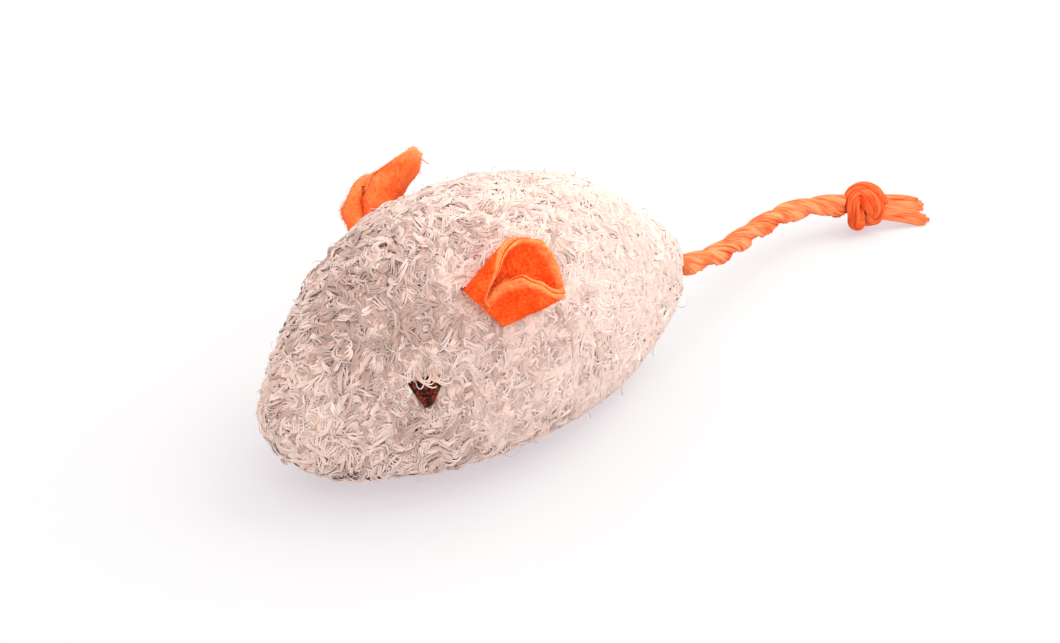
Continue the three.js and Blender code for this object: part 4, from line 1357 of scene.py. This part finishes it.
@dataclass
class PileCoat:
    """The curly pile: locks of a few fibres that rise from the ground cloth, curl over it and dip back."""

    form: BodyForm
    eyes: dict[Side, StitchedEye]
    ears: dict[Side, EarPlace]
    tail_exit: Array
    lock_count: int = 5400
    fibres: int = 5
    rows: int = 8
    fibre_width: float = 0.33
    half_lock: float = 0.42
    # How strongly a lock's fibres head for one tip
    closing: float = 0.88
    # On the head and behind it
    heading_spreads: Span = (1.25, 0.5)
    tint_spreads: Span = (0.17, 0.1)
    wavers: Span = (0.42, 0.3)
    swirls: Span = (1.5, 0.45)
    swirl_size: float = 16.0
    comb_direction: Point = (0.0, 0.42, -0.9)
    belly_density: float = 0.45
    belly_fade: Span = (2.3, 2.7)
    root_depth: float = 0.4
    least_reach: float = 2.0
    floor_height: float = 0.14
    tip_floor: float = 0.08
    softness: float = 0.6
    head_curls: Span = (1.0, 3.6)
    rear_curls: Span = (0.1, 1.3)
    head_lengths: Span = (2.2, 3.3)
    rear_lengths: Span = (2.8, 4.2)
    peak_range: Span = (0.26, 0.76)
    nose_rise: float = 0.66
    back_rise: float = 0.42
    dimple_rise: float = 0.45
    dimple_radius: float = 2.6
    base_tint: float = 0.56
    # What tints lose over the whole head as painted shade, round the brow and in a band behind it
    painted_head_shade: float = 0.21
    head_fade: Span = (1.55, 2.3)
    brow_grey: float = 0.48
    brow_place: Span = (0.85, 0.5)
    brow_radius: float = 7.5
    band_grey: float = 0.13
    band_place: float = 1.35
    band_width: float = 0.45
    pale_chance: float = 0.06
    pale_gain: float = 0.4
    stray_count: int = 200
    stray_width: float = 0.09
    under_count: int = 15000
    under_width: float = 0.42
    brow_count: int = 13
    brow_width: float = 0.24
    root_half_width: float = 2.5
    root_span: Span = (0.9, 5.0)
    root_depths: Span = (-1.0, 4.0)
    tail_clearing: float = 2.3
    over_eye_chance: float = 0.4
    seed: int = 17

    def scatter(self, count: int, shift: float) -> tuple[Array, Array]:
        """Places spread evenly over the body by area, thinner under the belly.

        The cells of a grid are weighed by their area. Two even sequences then pick a row by the rows'
        sum, and a place in the row by the row's own sum.

        Args:
            count: how many places.
            shift: where the sequences start.

        Returns:
            The angles along and around at each place.
        """
        cells = 200
        edges = np.linspace(0, np.pi, cells + 1)
        along = ((edges[1:] + edges[:-1]) / 2)[:, None]
        around = np.linspace(-np.pi, np.pi, cells, endpoint=False)[None, :] + np.pi / cells
        along, around = np.broadcast_arrays(along, around)
        rear_reach, down_reach = self.form.frame(along, around)[3:]
        weight = np.minimum(rear_reach, 40) * np.minimum(down_reach, 40)
        weight = weight * mix(1.0, self.belly_density, ease(np.abs(around), *self.belly_fade))
        index = np.arange(count) + shift
        pick_row, pick_place = (index * 0.7548776662) % 1, (index * 0.5698402910) % 1
        rows = np.cumsum(weight.sum(1)) / weight.sum()
        row = np.clip(np.searchsorted(rows, pick_row), 0, cells - 1)
        sums = np.cumsum(weight[row], axis=1)
        column = (sums < (pick_place * sums[:, -1])[:, None]).sum(1)
        random = np.random.default_rng(self.seed + int(shift))
        jitter = random.uniform(-0.5, 0.5, (2, count)) * np.pi / cells
        u = along[row, 0] + jitter[0]
        v = around[0, np.clip(column, 0, cells - 1)] + 2 * jitter[1]
        return np.clip(u, 0.02, np.pi - 0.02), v

    def combing(self, along: Array, around: Array) -> Array:
        """The heading that the pile is combed to: to the rear and down, with slow swirls.

        Args:
            along: angles along the body.
            around: angles round it.

        Returns:
            Headings, as angles from the rearward direction towards further round.
        """
        rear, down = self.form.frame(along, around)[:2]
        wish = np.array(self.comb_direction)
        swirl = Waves(23, self.swirl_size).at(self.form.point(along, around))
        return np.arctan2(down @ wish, rear @ wish) + mix(*self.swirls, self.form.behind(along)) * swirl

    def march(
        self, along: Array, around: Array, heading: Array, turning: Array, lengths: Array, peaks: Array,
        dips: Array,
    ) -> tuple[Array, Array]:
        """Walks each fibre over the body in equal steps, turning as it goes.

        Its height over the ground follows a parabola from the root, which is sunk a little, up to its
        peak at half its length, and another down to its dip at the end.

        Args:
            along: where each fibre starts.
            around: the same, round the body.
            heading: its first heading.
            turning: how far it turns after each step, by fibre and step.
            lengths: its length.
            peaks: its greatest height over the ground cloth.
            dips: the height of its end over the ground cloth.

        Returns:
            The fibres' points and the outward direction at each.
        """
        u, v, angle = along.copy(), around.copy(), heading.copy()
        step = lengths / (self.rows - 1)
        points, outs = [], []
        for index, share in enumerate(np.linspace(0, 1, self.rows)):
            _, _, out, rear_reach, down_reach = self.form.frame(u, v)
            drop = peaks + self.root_depth if share < 0.5 else peaks - dips
            height = peaks - drop * (2 * share - 1) ** 2
            points.append(self.form.under_pile(u, v) + height[:, None] * out)
            outs.append(out)
            u = u + step * np.cos(angle) / np.maximum(rear_reach, self.least_reach)
            v = v + step * np.sin(angle) / np.maximum(down_reach, self.least_reach)
            crossed = (u < 0) | (u > np.pi)
            u = np.where(u < 0, -u, np.where(u > np.pi, 2 * np.pi - u, u))
            v = np.where(crossed, v + np.pi, v)
            angle = np.where(crossed, np.pi - angle, angle) + turning[:, index]
        path = np.stack(points, 1)
        path[..., 2] = np.maximum(path[..., 2], self.floor_height)
        return path, np.stack(outs, 1)

    def kept(self, path: Array, random: np.random.Generator) -> Array:
        """Which fibres stay: those clear of the eyes, of the ears' roots and of the tail.

        Args:
            path: the fibres' points.
            random: where chances are drawn from.

        Returns:
            True for each fibre that stays.
        """
        keep = np.ones(len(path), bool)
        lucky = random.random(len(path)) < self.over_eye_chance
        for side in Side:
            points = path * [side.value, 1, 1]
            eye = self.eyes[side]
            middle, _, down, _ = eye.axes()
            above = (points[:, 0] - middle) @ down < -eye.height / 2
            crosses = eye.contains(points, -0.12).any(1)
            keep &= ~(crosses & ~(above & lucky))
            place = self.ears[side]
            local = points - place.foot
            inside = np.abs(local @ place.across) < self.root_half_width
            for way, (low, high) in ((place.rise, self.root_span), (place.out, self.root_depths)):
                inside &= (local @ way > low) & (local @ way < high)
            keep &= ~inside.all(1)
        near_tail = np.linalg.norm((path - self.tail_exit)[:, :, [0, 2]], axis=-1) < self.tail_clearing
        return keep & ~(near_tail & (path[..., 1] > 20)).any(1)

    def greyness(self, along: Array, middle: Array) -> Array:
        """What locks' tints lose: painted shade over the head, bell curves round the brow and in the band.

        Args:
            along: the locks' angles along the body.
            middle: their places.

        Returns:
            The loss for each lock.
        """
        brow = self.form.point(*map(np.array, self.brow_place))
        near_brow = np.exp(-((np.linalg.norm(middle - brow, axis=1) / self.brow_radius) ** 2))
        band = np.exp(-(((along - self.band_place) / self.band_width) ** 2))
        # Painted shade: the head's locks are drawn greyer than the rump's, on the side away from the light.
        painted_head_loss = self.painted_head_shade * (1 - ease(along, *self.head_fade))
        return painted_head_loss + self.brow_grey * near_brow + self.band_grey * band

    def rises(self, along: Array, middle: Array) -> Array:
        """How high locks stand at their places as a share: low at the nose, the back and over the eyes.

        Args:
            along: the locks' angles along the body.
            middle: their places.

        Returns:
            The share for each lock.
        """
        shares = (1 + 0.25 * Waves(29, 7.0).at(middle)) * mix(self.nose_rise, 1.0, ease(along, 0.2, 0.7))
        shares = shares * mix(1.0, self.back_rise, ease(along, 0.75, 1.6))
        for side in Side:
            eye_middle, _, down, _ = self.eyes[side].axes()
            dimple = eye_middle - self.dimple_radius * down
            distance = np.linalg.norm(middle * [side.value, 1, 1] - dimple, axis=1)
            shares = shares * mix(self.dimple_rise, 1.0, ease(distance, 0.8, self.dimple_radius))
        return shares

    def locks(self) -> tuple[Array, Array, Array, Array, Array]:
        """The fibres of all the coat's locks.

        Fibres of a lock start side by side, head for one tip and curl alike, each a little differently.
        The head's locks are short and curl in every direction. The rump's are longer and lie combed.

        Returns:
            Path points, facings, tints, and each fibre's first angles along and around.
        """
        random = np.random.default_rng(self.seed)
        locks = self.lock_count
        along, around = self.scatter(locks, 0.5)
        behind = self.form.behind(along)
        middle = self.form.point(along, around)
        heading = self.combing(along, around)
        heading = heading + random.normal(0, 1, locks) * mix(*self.heading_spreads, behind)
        way = random.choice([-1, 1], locks)
        curl, lengths = (
            mix(random.uniform(*head, locks), random.uniform(*rear, locks), behind)
            for head, rear in ((self.head_curls, self.rear_curls), (self.head_lengths, self.rear_lengths))
        )
        peaks = random.uniform(*self.peak_range, locks) * self.rises(along, middle)
        dips = peaks * random.uniform(-0.1, 0.95, locks)
        uneven = random.normal(0, 1, locks) * mix(*self.tint_spreads, behind)
        tints = self.base_tint - self.greyness(along, middle) + 0.1 * Waves(61, 9.0).at(middle) + uneven
        tints = tints + np.where(random.random(locks) < self.pale_chance, self.pale_gain, 0.0)

        own = np.repeat(np.arange(locks), self.fibres)
        count = len(own)
        spread = np.tile(np.linspace(-self.half_lock, self.half_lock, self.fibres), locks)
        offset = spread + random.normal(0, 0.07, count)
        u, v, angle, length = along[own], around[own], heading[own], lengths[own]
        rear_reach, down_reach = self.form.frame(u, v)[3:]
        u = u - offset * np.sin(angle) / np.maximum(rear_reach, self.least_reach)
        u = np.clip(u, 0.015, np.pi - 0.015)
        v = v + offset * np.cos(angle) / np.maximum(down_reach, self.least_reach)
        angle = angle - self.closing * offset / length + random.normal(0, 0.1, count)
        length = length * random.uniform(0.8, 1.12, count)
        steps = (np.arange(self.rows) + 0.5) / (self.rows - 1)
        waver = random.uniform(0, 2 * np.pi, locks)[own, None]
        bends = mix(*self.wavers, self.form.behind(u))[:, None] * np.cos(2 * np.pi * steps + waver)
        turning = (way * curl)[own, None] / (self.rows - 1) + bends
        leans = offset / self.half_lock
        peak = peaks[own] * random.uniform(0.92, 1.08, count) - 0.1 * leans**2
        path, outs = self.march(u, v, angle, turning, length, peak, dips[own])
        across = np.cross(unit(np.gradient(path, axis=1)), outs)
        faces = unit(outs + 0.75 * leans[:, None, None] * across)
        tint = tints[own] + random.normal(0, 0.04, count)
        return path, faces, np.clip(tint, 0.02, 0.98), u, v

    def strays(self) -> tuple[Array, Array, Array]:
        """Path points, outward directions and tints of single thin fibres that stand clear of the locks."""
        random = np.random.default_rng(self.seed + 5)
        count = self.stray_count
        u, v = self.scatter(count, 9000.5)
        length = random.uniform(2.5, 4.5, count)
        turning = random.normal(0, 0.5, (count, self.rows))
        heading = random.uniform(0, 2 * np.pi, count)
        peaks = random.uniform(0.9, 1.5, count)
        dips = peaks * random.uniform(0.3, 1.1, count)
        return *self.march(u, v, heading, turning, length, peaks, dips), random.uniform(0.5, 0.98, count)

    def undercoat(self) -> tuple[Array, Array, Array, Array]:
        """Short low fibres that lie every way and close the ground between the locks.

        Returns:
            Path points, outward directions, tints, and each fibre's first angle along the body.
        """
        random = np.random.default_rng(self.seed + 6)
        count = self.under_count
        u, v = self.scatter(count, 3000.5)
        behind = self.form.behind(u)
        heading = self.combing(u, v) + random.normal(0, 1, count) * mix(1.6, 0.7, behind)
        turning = random.normal(0, 0.35, (count, self.rows)) + random.normal(0, 0.4, (count, 1))
        peaks = random.uniform(0.08, 0.3, count)
        length = random.uniform(1.4, 2.6, count)
        path, outs = self.march(u, v, heading, turning, length, peaks, peaks * 0.2)
        # Painted shade: the undercoat is drawn darker on the head than behind it.
        tints = 0.58 - 0.25 * (1 - behind) + random.normal(0, 0.15, count)
        return path[:, ::3], outs[:, ::3], np.clip(tints, 0.02, 0.98), u

    def skin(self, path: Array, outs: Array, tints: Array, width: float) -> Surface:
        """Three-sided fibres along their paths, thickest at a third of the way and drawn to a point.

        Args:
            path: path points by fibre and row.
            outs: the outward direction at each.
            tints: each fibre's tint.
            width: the fibre's greatest width.

        Returns:
            The fibres' skin.
        """
        rows = path.shape[1]
        shares = np.linspace(0, 1, rows)
        size = width * (0.62 + 0.38 * np.sin(np.pi * shares**0.8)) * mix(1.0, 0.72, shares)
        sizes = np.broadcast_to(size, path.shape[:2])
        rings = swept(path, outs, sizes, sizes * 0.8, 3)
        tips = np.stack([path[:, 0] - 0.05 * outs[:, 0], 1.6 * path[:, -1] - 0.6 * path[:, -2]], 1)
        tips[..., 2] = np.maximum(tips[..., 2], self.tip_floor)
        made = tubes(rings, ring_places(tints, rows, 3), tips)
        facing = mix(unit(rings - path[:, :, None]), outs[:, :, None], self.softness)
        every = np.concatenate([facing.reshape(len(path), -1, 3), outs[:, [0, -1]]], axis=1)
        made.normals = unit(every.reshape(-1, 3))
        return made

    def build(self) -> None:
        """Makes the coat as one piece for each zone of each side and one for the belly."""
        random = np.random.default_rng(self.seed + 9)
        fibres = self.locks()
        keep = self.kept(fibres[0], random)
        *fibres, u, v = (values[keep] for values in fibres)
        turn = wrapped(v)
        belly = np.abs(turn) > self.form.belly_edge(u)
        borders = np.quantile(u[~belly], [1 / 3, 2 / 3])
        zones = np.searchsorted(borders, u)
        groups = {"belly_pile": belly}
        for side in Side:
            for zone in Zone:
                name = f"{side.name.lower()}_{zone.name.lower()}_pile"
                groups[name] = ~belly & (zones == zone.value) & (np.sign(turn) == side.value)
        for name, chosen in groups.items():
            self.dress(name, fibres, chosen, self.fibre_width)
        *fibres, u = self.undercoat()
        keep = self.kept(fibres[0], random)
        for zone in Zone:
            chosen = keep & (np.searchsorted(borders, u) == zone.value)
            self.dress(zone.name.lower() + "_undercoat", fibres, chosen, self.under_width)
        fibres = self.strays()
        self.dress("stray_pile_fibres", fibres, self.kept(fibres[0], random), self.stray_width)
        for side in Side:
            brow = self.skin(*self.brow(side), self.brow_width).on(side)
            brow.piece(side.name.lower() + "_brow_loops", PILE, "body")

    def dress(self, name: str, fibres: Sequence[Array], chosen: Array, width: float) -> None:
        """Makes one piece of some fibres and gives it to the body.

        Args:
            name: the piece's name.
            fibres: path points, facings and tints.
            chosen: which fibres it has.
            width: their greatest width.
        """
        self.skin(*(values[chosen] for values in fibres), width).piece(name, PILE, "body")

    def brow(self, side: Side) -> tuple[Array, Array, Array]:
        """Pale loops that hang over an eye's top edge and turn back up, as if on the left.

        Args:
            side: which eye they belong to.

        Returns:
            Path points, outward directions and tints.
        """
        random = np.random.default_rng(self.seed + 20 + side.value)
        eye = self.eyes[side]
        middle, across, down, out = eye.axes()
        count = self.brow_count
        share = np.linspace(0, 1, self.rows)[None, :]
        lean = random.uniform(0.5, 1.1, (count, 1)) * random.choice([-1, 1], (count, 1))
        sideways = random.uniform(-0.6, 0.35, (count, 1)) * eye.width - lean * np.cos(np.pi * share)
        reach = random.uniform(0.9, 2.0, (count, 1))
        reach = reach * np.sin(np.pi * share * random.uniform(0.7, 1.0, (count, 1)))
        height = random.uniform(-0.2, 0.1, (count, 1)) + 0.5 * np.sin(np.pi * share)
        path = (
            middle
            + sideways[..., None] * across
            + (reach - eye.height / 2 - 1.3)[..., None] * down
            + height[..., None] * out
        )
        return path, np.broadcast_to(out, path.shape), random.uniform(0.2, 0.8, count)


@dataclass
class PaperTail:
    """The tail: a cord of two twisted paper plies, an overhand knot and two frayed strand ends."""

    exit: Point = (0.0, 30.6, 11.5)
    offsets: tuple[Point, ...] = (
        (0, 0, 0), (-0.5, 2.6, -0.6), (-1.2, 5.1, -1.2), (-2.2, 7.6, -1.8),
        (-3.3, 10, -2.4), (-4.6, 12.3, -2.9), (-5.8, 14.7, -3.4), (-7, 17.1, -3.9),
        (-8.2, 19.5, -4.3), (-9.3, 21.9, -4.8), (-10.3, 24.4, -5.2), (-11.2, 26.9, -5.6),
        (-11.8, 29.5, -6.1), (-12.2, 32.2, -6.6), (-12.1, 34.8, -7.1), (-11.3, 37.4, -7.5),
    )
    diameter: float = 2.8
    pitch: float = 15.0
    knot_length: float = 6.2
    strand_length: float = 5.2
    strand_width: float = 2.6
    strand_gap: float = 0.3
    strand_spread: float = 8.0
    strand_droop: float = 1.5
    strand_roll: float = 42.0
    ribbon_width: float = 0.92
    ribbon_depth: float = 0.5
    ply_sides: int = 36
    ply_flatness: float = 1.16
    first_turn: float = 0.4
    fold_depth: float = 0.13
    # Knot path in its own frame: along the tail, up in the knot's plane, and out of that plane
    knot_route: tuple[Point, ...] = (
        (-3.9, 0.1, -0.2), (-2.4, 0.2, -0.8), (-1.0, 0.9, -0.6), (-0.3, 1.1, 0.5), (0.4, 0.3, 1.3),
        (1.1, -0.8, 1.1), (1.2, -1.8, 0.0), (0.2, -1.6, -1.0), (-0.8, -1.7, -0.6), (-1.4, -2.0, 0.4),
        (-1.7, -0.9, 1.1), (-1.7, 0.4, 0.7), (-1.1, 1.4, 0.2), (0.2, 1.8, 0.0), (1.5, 1.4, 0.0),
        (2.1, 0.4, 0.1), (2.4, -0.1, 0.0), (2.8, 0.0, 0.0),
    )

    @property
    def route(self) -> Array:
        """The points that the cord follows, from the seam to the knot."""
        return np.array(self.exit) + np.array(self.offsets, float)

    @property
    def level(self) -> Array:
        """The level direction that the cord's end points in."""
        way = self.route[-1] - self.route[-2]
        return unit(way * [1, 1, 0])

    @property
    def knot_middle(self) -> Array:
        """The middle of the knot."""
        way = unit(self.route[-1] - self.route[-2])
        return self.route[-1] + way * (self.knot_length / 2 - 0.1)

    def plies(
        self, path: Array, front: Array, pitch: float, offset: float, size: float, seed: int
    ) -> Surface:
        """Two crinkled paper plies twisted round a path.

        A ply's middle turns round the path at the offset, once for each pitch. Its section is an oval
        whose radius is uneven by waves that are short round the ply and long along it.

        Args:
            path: points of the cord's middle.
            front: a direction across the path.
            pitch: the length of one full turn.
            offset: how far a ply's middle is from the cord's middle.
            size: the ply's thickness.
            seed: which creases it has.

        Returns:
            The two plies.
        """
        travel = along_line(path)
        tangents = unit(np.gradient(path, axis=0))
        across = unit(np.cross(front, tangents))
        above = np.cross(tangents, across)
        around = np.arange(self.ply_sides) / self.ply_sides
        angle = 2 * np.pi * around
        shape = (len(path), self.ply_sides)
        depths = np.full((1, len(path)), size)
        made = []
        for ply in range(2):
            turn = (2 * np.pi * travel / pitch + self.first_turn + ply * np.pi)[:, None]
            radial = np.cos(turn) * across + np.sin(turn) * above
            middle = path + offset * radial
            rings = swept(middle[None], radial[None], depths * self.ply_flatness, depths, self.ply_sides)[0]
            cells = columns(shape, 2.1 * np.cos(angle), 2.1 * np.sin(angle), travel[:, None] / 5)
            folds = np.sqrt(Waves(seed + ply, 2.3).at(cells) ** 2 + 0.03)
            rings = middle[:, None] + (rings - middle[:, None]) * (1.08 - self.fold_depth * folds)[..., None]
            share = mix(PLACE_MARGIN, 1 - PLACE_MARGIN, travel[:, None] / travel[-1])
            places = columns(shape, 0.02 + ply * 0.5 + 0.44 * around, share)
            made.append(tubes(rings[None], places[None]))
        return Surface.joined(made)

    def cord(self) -> Surface:
        """The twisted cord from inside the seam to the knot."""
        return self.plies(through(self.route, 200), UP, self.pitch, 0.58, 1.72, 81)

    def knot_axes(self) -> tuple[Array, Array, Array]:
        """The knot's directions: along the tail, up in its plane, and out of the plane."""
        out = np.array([0.707, -0.504, 0.4955])
        out = unit(out - (out @ self.level) * self.level)
        return self.level, np.cross(out, self.level), out

    def knot(self) -> Surface:
        """The overhand knot: the same cord drawn tight round itself."""
        axes = np.stack(self.knot_axes())
        path = self.knot_middle + through(np.array(self.knot_route, float), 190) @ axes
        return self.plies(path, axes[2], 13.0, 0.5, 1.66, 91)

    def strand(self, side: Side) -> Surface:
        """One flat strand end: narrow crumpled ribbons that part towards their tips.

        Args:
            side: which of the two ends, as the tail sees it.

        Returns:
            The ribbons.
        """
        random = np.random.default_rng(101 + side.value)
        spread = math.radians(self.strand_spread) * (0.25 - 0.75 * side.value)
        turned = math.cos(spread) * self.level + math.sin(spread) * np.cross(UP, self.level)
        heading = unit(turned * self.strand_length - self.strand_droop * UP)
        start = self.knot_middle + heading * (self.knot_length / 2 - 1.8)
        roll = math.radians(self.strand_roll)
        flat = unit(math.cos(roll) * np.cross(turned, UP) - math.sin(roll) * UP)
        start = start + flat * side.value * (self.strand_width + self.strand_gap) / 2 * 0.47
        above = np.cross(flat, heading)
        count, rows, sides = 5, 18, 10
        share = np.linspace(0, 1, rows)[None, :]
        place = np.linspace(-1, 1, count)[:, None]
        tongue = (1 - 0.1 * place**2) * random.uniform(0.97, 1.03, (count, 1))
        lengths = tongue * (self.strand_length + 3.8 - 0.5 * side.value)
        fan = mix(0.85, 1.0, share) * place * self.strand_width * 0.3
        apart = random.normal(0, 0.05, (count, 1)) * ease(share, 0.6, 1.0)
        lift = random.uniform(-0.16, 0.16, (count, 1))
        lift = lift + 0.1 * np.sin(7 * share + random.uniform(0, 6, (count, 1)))
        curl = random.normal(0, 0.12, (count, 1)) * share**3
        local = columns((count, rows), share * lengths, fan + apart, lift + curl)
        path = start + local @ np.stack([heading, flat, above])
        path[..., 2] = np.maximum(path[..., 2], 0.3)
        narrowing = mix(1.0, 0.6, ease(share, 0.85, 1.0))
        width = np.broadcast_to(self.ribbon_width * narrowing, path.shape[:2])
        depth = np.full(path.shape[:2], self.ribbon_depth)
        tilt = random.normal(0, 0.22, (count, 1, 3)) + above
        rings = swept(path, np.broadcast_to(tilt, path.shape), width, depth, sides)
        tint = PLACE_MARGIN + (np.arange(count) / count)[:, None, None]
        along = PLACE_MARGIN + 0.24 * share[..., None]
        return tubes(rings, columns((count, rows, sides), tint + 0.12 * np.arange(sides) / sides, along))

    def anchor(self) -> Surface:
        """The cord's end inside the body, tied into a knot that the seam holds back."""
        shares = np.linspace(0, 1, 60)
        path = np.array(self.exit) + columns(shares.shape, 0.0, -1.4 - 9.8 * shares, 0.0)
        stem = self.plies(path, UP, self.pitch, 0.62, 1.3, 111)
        turn = np.linspace(0, 4 * np.pi, 120)
        radius, inwards = 1.35 + 0.2 * np.cos(1.5 * turn), 1.1 * np.sin(1.5 * turn) - 10.6
        loop = columns(turn.shape, radius * np.cos(turn), inwards, radius * np.sin(turn))
        turns = self.plies(np.array(self.exit) + loop, REARWARDS, 9.0, 0.4, 1.0, 121)
        return Surface.joined([stem, turns])

    def binding(self) -> Surface:
        """Three turns of thread round the cord inside the seam."""
        turn = np.linspace(0, 6 * np.pi, 110)
        inwards = 0.36 * (turn / (2 * np.pi) - 1.5) - 6.2
        path = np.array(self.exit) + columns(turn.shape, 1.9 * np.cos(turn), inwards, 1.9 * np.sin(turn))
        return threads(path[None], REARWARDS, 0.36, 6, [0.5], 0.3)

    def build(self) -> None:
        """Makes the cord and what is tied in it, and gives each piece but the cord to its body."""
        knot = self.knot().piece("overhand_knot", TIGHT_PAPER, "tail", "tail_knot")
        for side, which in ((Side.LEFT, "right"), (Side.RIGHT, "left")):
            name = which + "_strand_end"
            self.strand(side).piece("frayed_" + name, FRAYED_PAPER, "tail", "tail_" + name)
        cord = self.cord().piece("twisted_paper_cord", PAPER, None, "tail_cord_base", "tail_cord")
        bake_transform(cord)
        self.anchor().piece("cord_anchor_knot", PAPER, "body", "tail_anchor_knot")
        self.binding().piece("cord_binding", THREAD, "body", "tail_binding_thread")


@dataclass
class Studio:
    """The camera at the photograph's angle, the pale floor and the soft light."""

    azimuth: float = 54.5
    elevation: float = 29.7
    target: Point = (0.0, 0.0, 12.3)
    distance: float = 360.5
    lens: float = 102.2
    shift_x: float = 0.0453
    shift_y: float = 0.0082
    sky_colour: tuple[float, ...] = (1.0, 0.985, 0.97, 1)
    sky_strength: float = 1.3
    lamp_power: float = 0.9
    fill_power: float = 0.36
    floor_reach: float = 2000.0
    floor_colour: tuple[float, ...] = (0.297, 0.33, 0.305, 1)
    floor_glow: tuple[float, ...] = (1.0, 0.889, 0.98, 1)
    floor_glow_strength: float = 0.52

    def back(self) -> Vector:
        """The direction from the object to the camera."""
        turn, tilt = math.radians(self.azimuth), math.radians(self.elevation)
        return Vector((math.sin(turn) * math.cos(tilt), -math.cos(turn) * math.cos(tilt), math.sin(tilt)))

    def aimed(self, name: str, data: bpy.types.ID, way: Vector, distance: float) -> bpy.types.Object:
        """Adds a camera or a lamp that points at the toy.

        Args:
            name: its name.
            data: its settings.
            way: the direction from the toy to it.
            distance: how far away it is.

        Returns:
            The new object.
        """
        made = bpy.data.objects.new(name, data)
        made.location = Vector(metres(self.target)) + way * distance * METRES_PER_MM
        made.rotation_mode = "QUATERNION"
        made.rotation_quaternion = (-way).to_track_quat("-Z", "Y")
        bpy.context.scene.collection.objects.link(made)
        return made

    def camera(self) -> None:
        """Sets up the camera."""
        data = bpy.data.cameras.new("camera")
        data.lens, data.sensor_width = self.lens, 36.0
        data.shift_x, data.shift_y = self.shift_x, self.shift_y
        data.clip_start, data.clip_end = 0.01, 10.0
        bpy.context.scene.camera = self.aimed("camera", data, self.back(), self.distance)

    def lamp(self, name: str, way: Point, distance: float, size: float, power: float, colour: Point) -> None:
        """Adds a square soft lamp that points at the toy.

        Args:
            name: its name.
            way: the direction from the toy to the lamp.
            distance: how far away it is.
            size: the length of its side.
            power: its power in watts.
            colour: its colour.
        """
        data = bpy.data.lights.new(name, "AREA")
        data.shape, data.size, data.energy, data.color = "SQUARE", size * METRES_PER_MM, power, colour
        self.aimed(name, data, Vector(way).normalized(), distance)

    def floor(self) -> None:
        """A pale floor that takes the toy's shadow and shows white to the camera."""
        corners = np.linspace(-self.floor_reach, self.floor_reach, 3) * METRES_PER_MM
        x, y = np.meshgrid(corners, corners, indexing="xy")
        index = np.arange(9).reshape(3, 3)
        quads = np.stack([index[:-1, :-1], index[:-1, 1:], index[1:, 1:], index[1:, :-1]], -1)
        points = columns((3, 3), x, y, 0.0).reshape(-1, 3)
        mesh = bpy.data.meshes.new("floor")
        mesh.from_pydata(points.tolist(), [], quads.reshape(-1, 4).tolist())
        material, _, _ = shaded(
            "pale_floor", Base_Color=self.floor_colour, Roughness=0.9, Specular_IOR_Level=0.1,
            Emission_Color=self.floor_glow, Emission_Strength=self.floor_glow_strength,
        )
        mesh.materials.append(material)
        made = bpy.data.objects.new("floor", mesh)
        bpy.context.scene.collection.objects.link(made)

    def world(self) -> None:
        """An even pale sky, white to the camera."""
        world = bpy.data.worlds.new("sky")
        world.use_nodes = True
        nodes = Nodes(world.node_tree)
        path = nodes.add("LightPath")
        passed = nodes.math("MAXIMUM", path.outputs["Is Glossy Ray"], path.outputs["Is Transmission Ray"])
        seen = nodes.math("MAXIMUM", path.outputs["Is Camera Ray"], passed)
        lit = nodes.add("Background", Color=self.sky_colour, Strength=self.sky_strength)
        white = nodes.add("Background", Color=(1, 1, 1, 1), Strength=1.0)
        chosen = nodes.add("MixShader")
        for socket, value in zip(chosen.inputs, (seen, lit.outputs[0], white.outputs[0])):
            nodes.feed(socket, value)
        nodes.feed(world.node_tree.nodes["World Output"].inputs["Surface"], chosen.outputs[0])
        bpy.context.scene.world = world

    def build(self) -> None:
        """Sets up the floor, the sky and the lamps. The camera is set up before, with the cord."""
        self.floor()
        self.world()
        self.lamp("window", (0.05, 0.75, 0.9), 400.0, 300.0, self.lamp_power, (1.0, 0.985, 0.96))
        self.lamp("fill", (0.9, -0.3, 0.6), 500.0, 400.0, self.fill_power, (0.97, 0.98, 1.0))
        bpy.context.scene.view_settings.view_transform = "Standard"


def main() -> None:
    logging.basicConfig(level=logging.INFO, format="%(name)s: %(message)s")
    form = BodyForm()
    studio = Studio()
    studio.camera()
    tail = PaperTail()
    tail.build()
    StuffedBody(form).build()
    eyes = {side: StitchedEye(form, side, degrees) for side, degrees in zip(Side, (76.0, 66.0))}
    ears = {
        Side.LEFT: EarPlace(form, (0.19, 0.83, 0.52)),
        Side.RIGHT: EarPlace(form, (0.16, 0.72, 0.68), base_direction=(0.6, 0.51, -0.615)),
    }
    for eye in eyes.values():
        eye.build()
    FeltEar(ears[Side.LEFT], Side.LEFT).build()
    FeltEar(
        ears[Side.RIGHT], Side.RIGHT, length=12.3, spread_width=7.8, front_radius=2.0, dent=1.3,
        pinch_share=0.35, slants=((0.44, 0.45, 0.57), (0.36, 0.58, 1.0)), tip_fold=80.0, sink=1.4,
        setback=0.7, felt_finish=SUNLIT_FELT,
    ).build()
    PileCoat(form, eyes, ears, np.array(tail.exit)).build()
    studio.build()


if __name__ == "__main__":
    main()
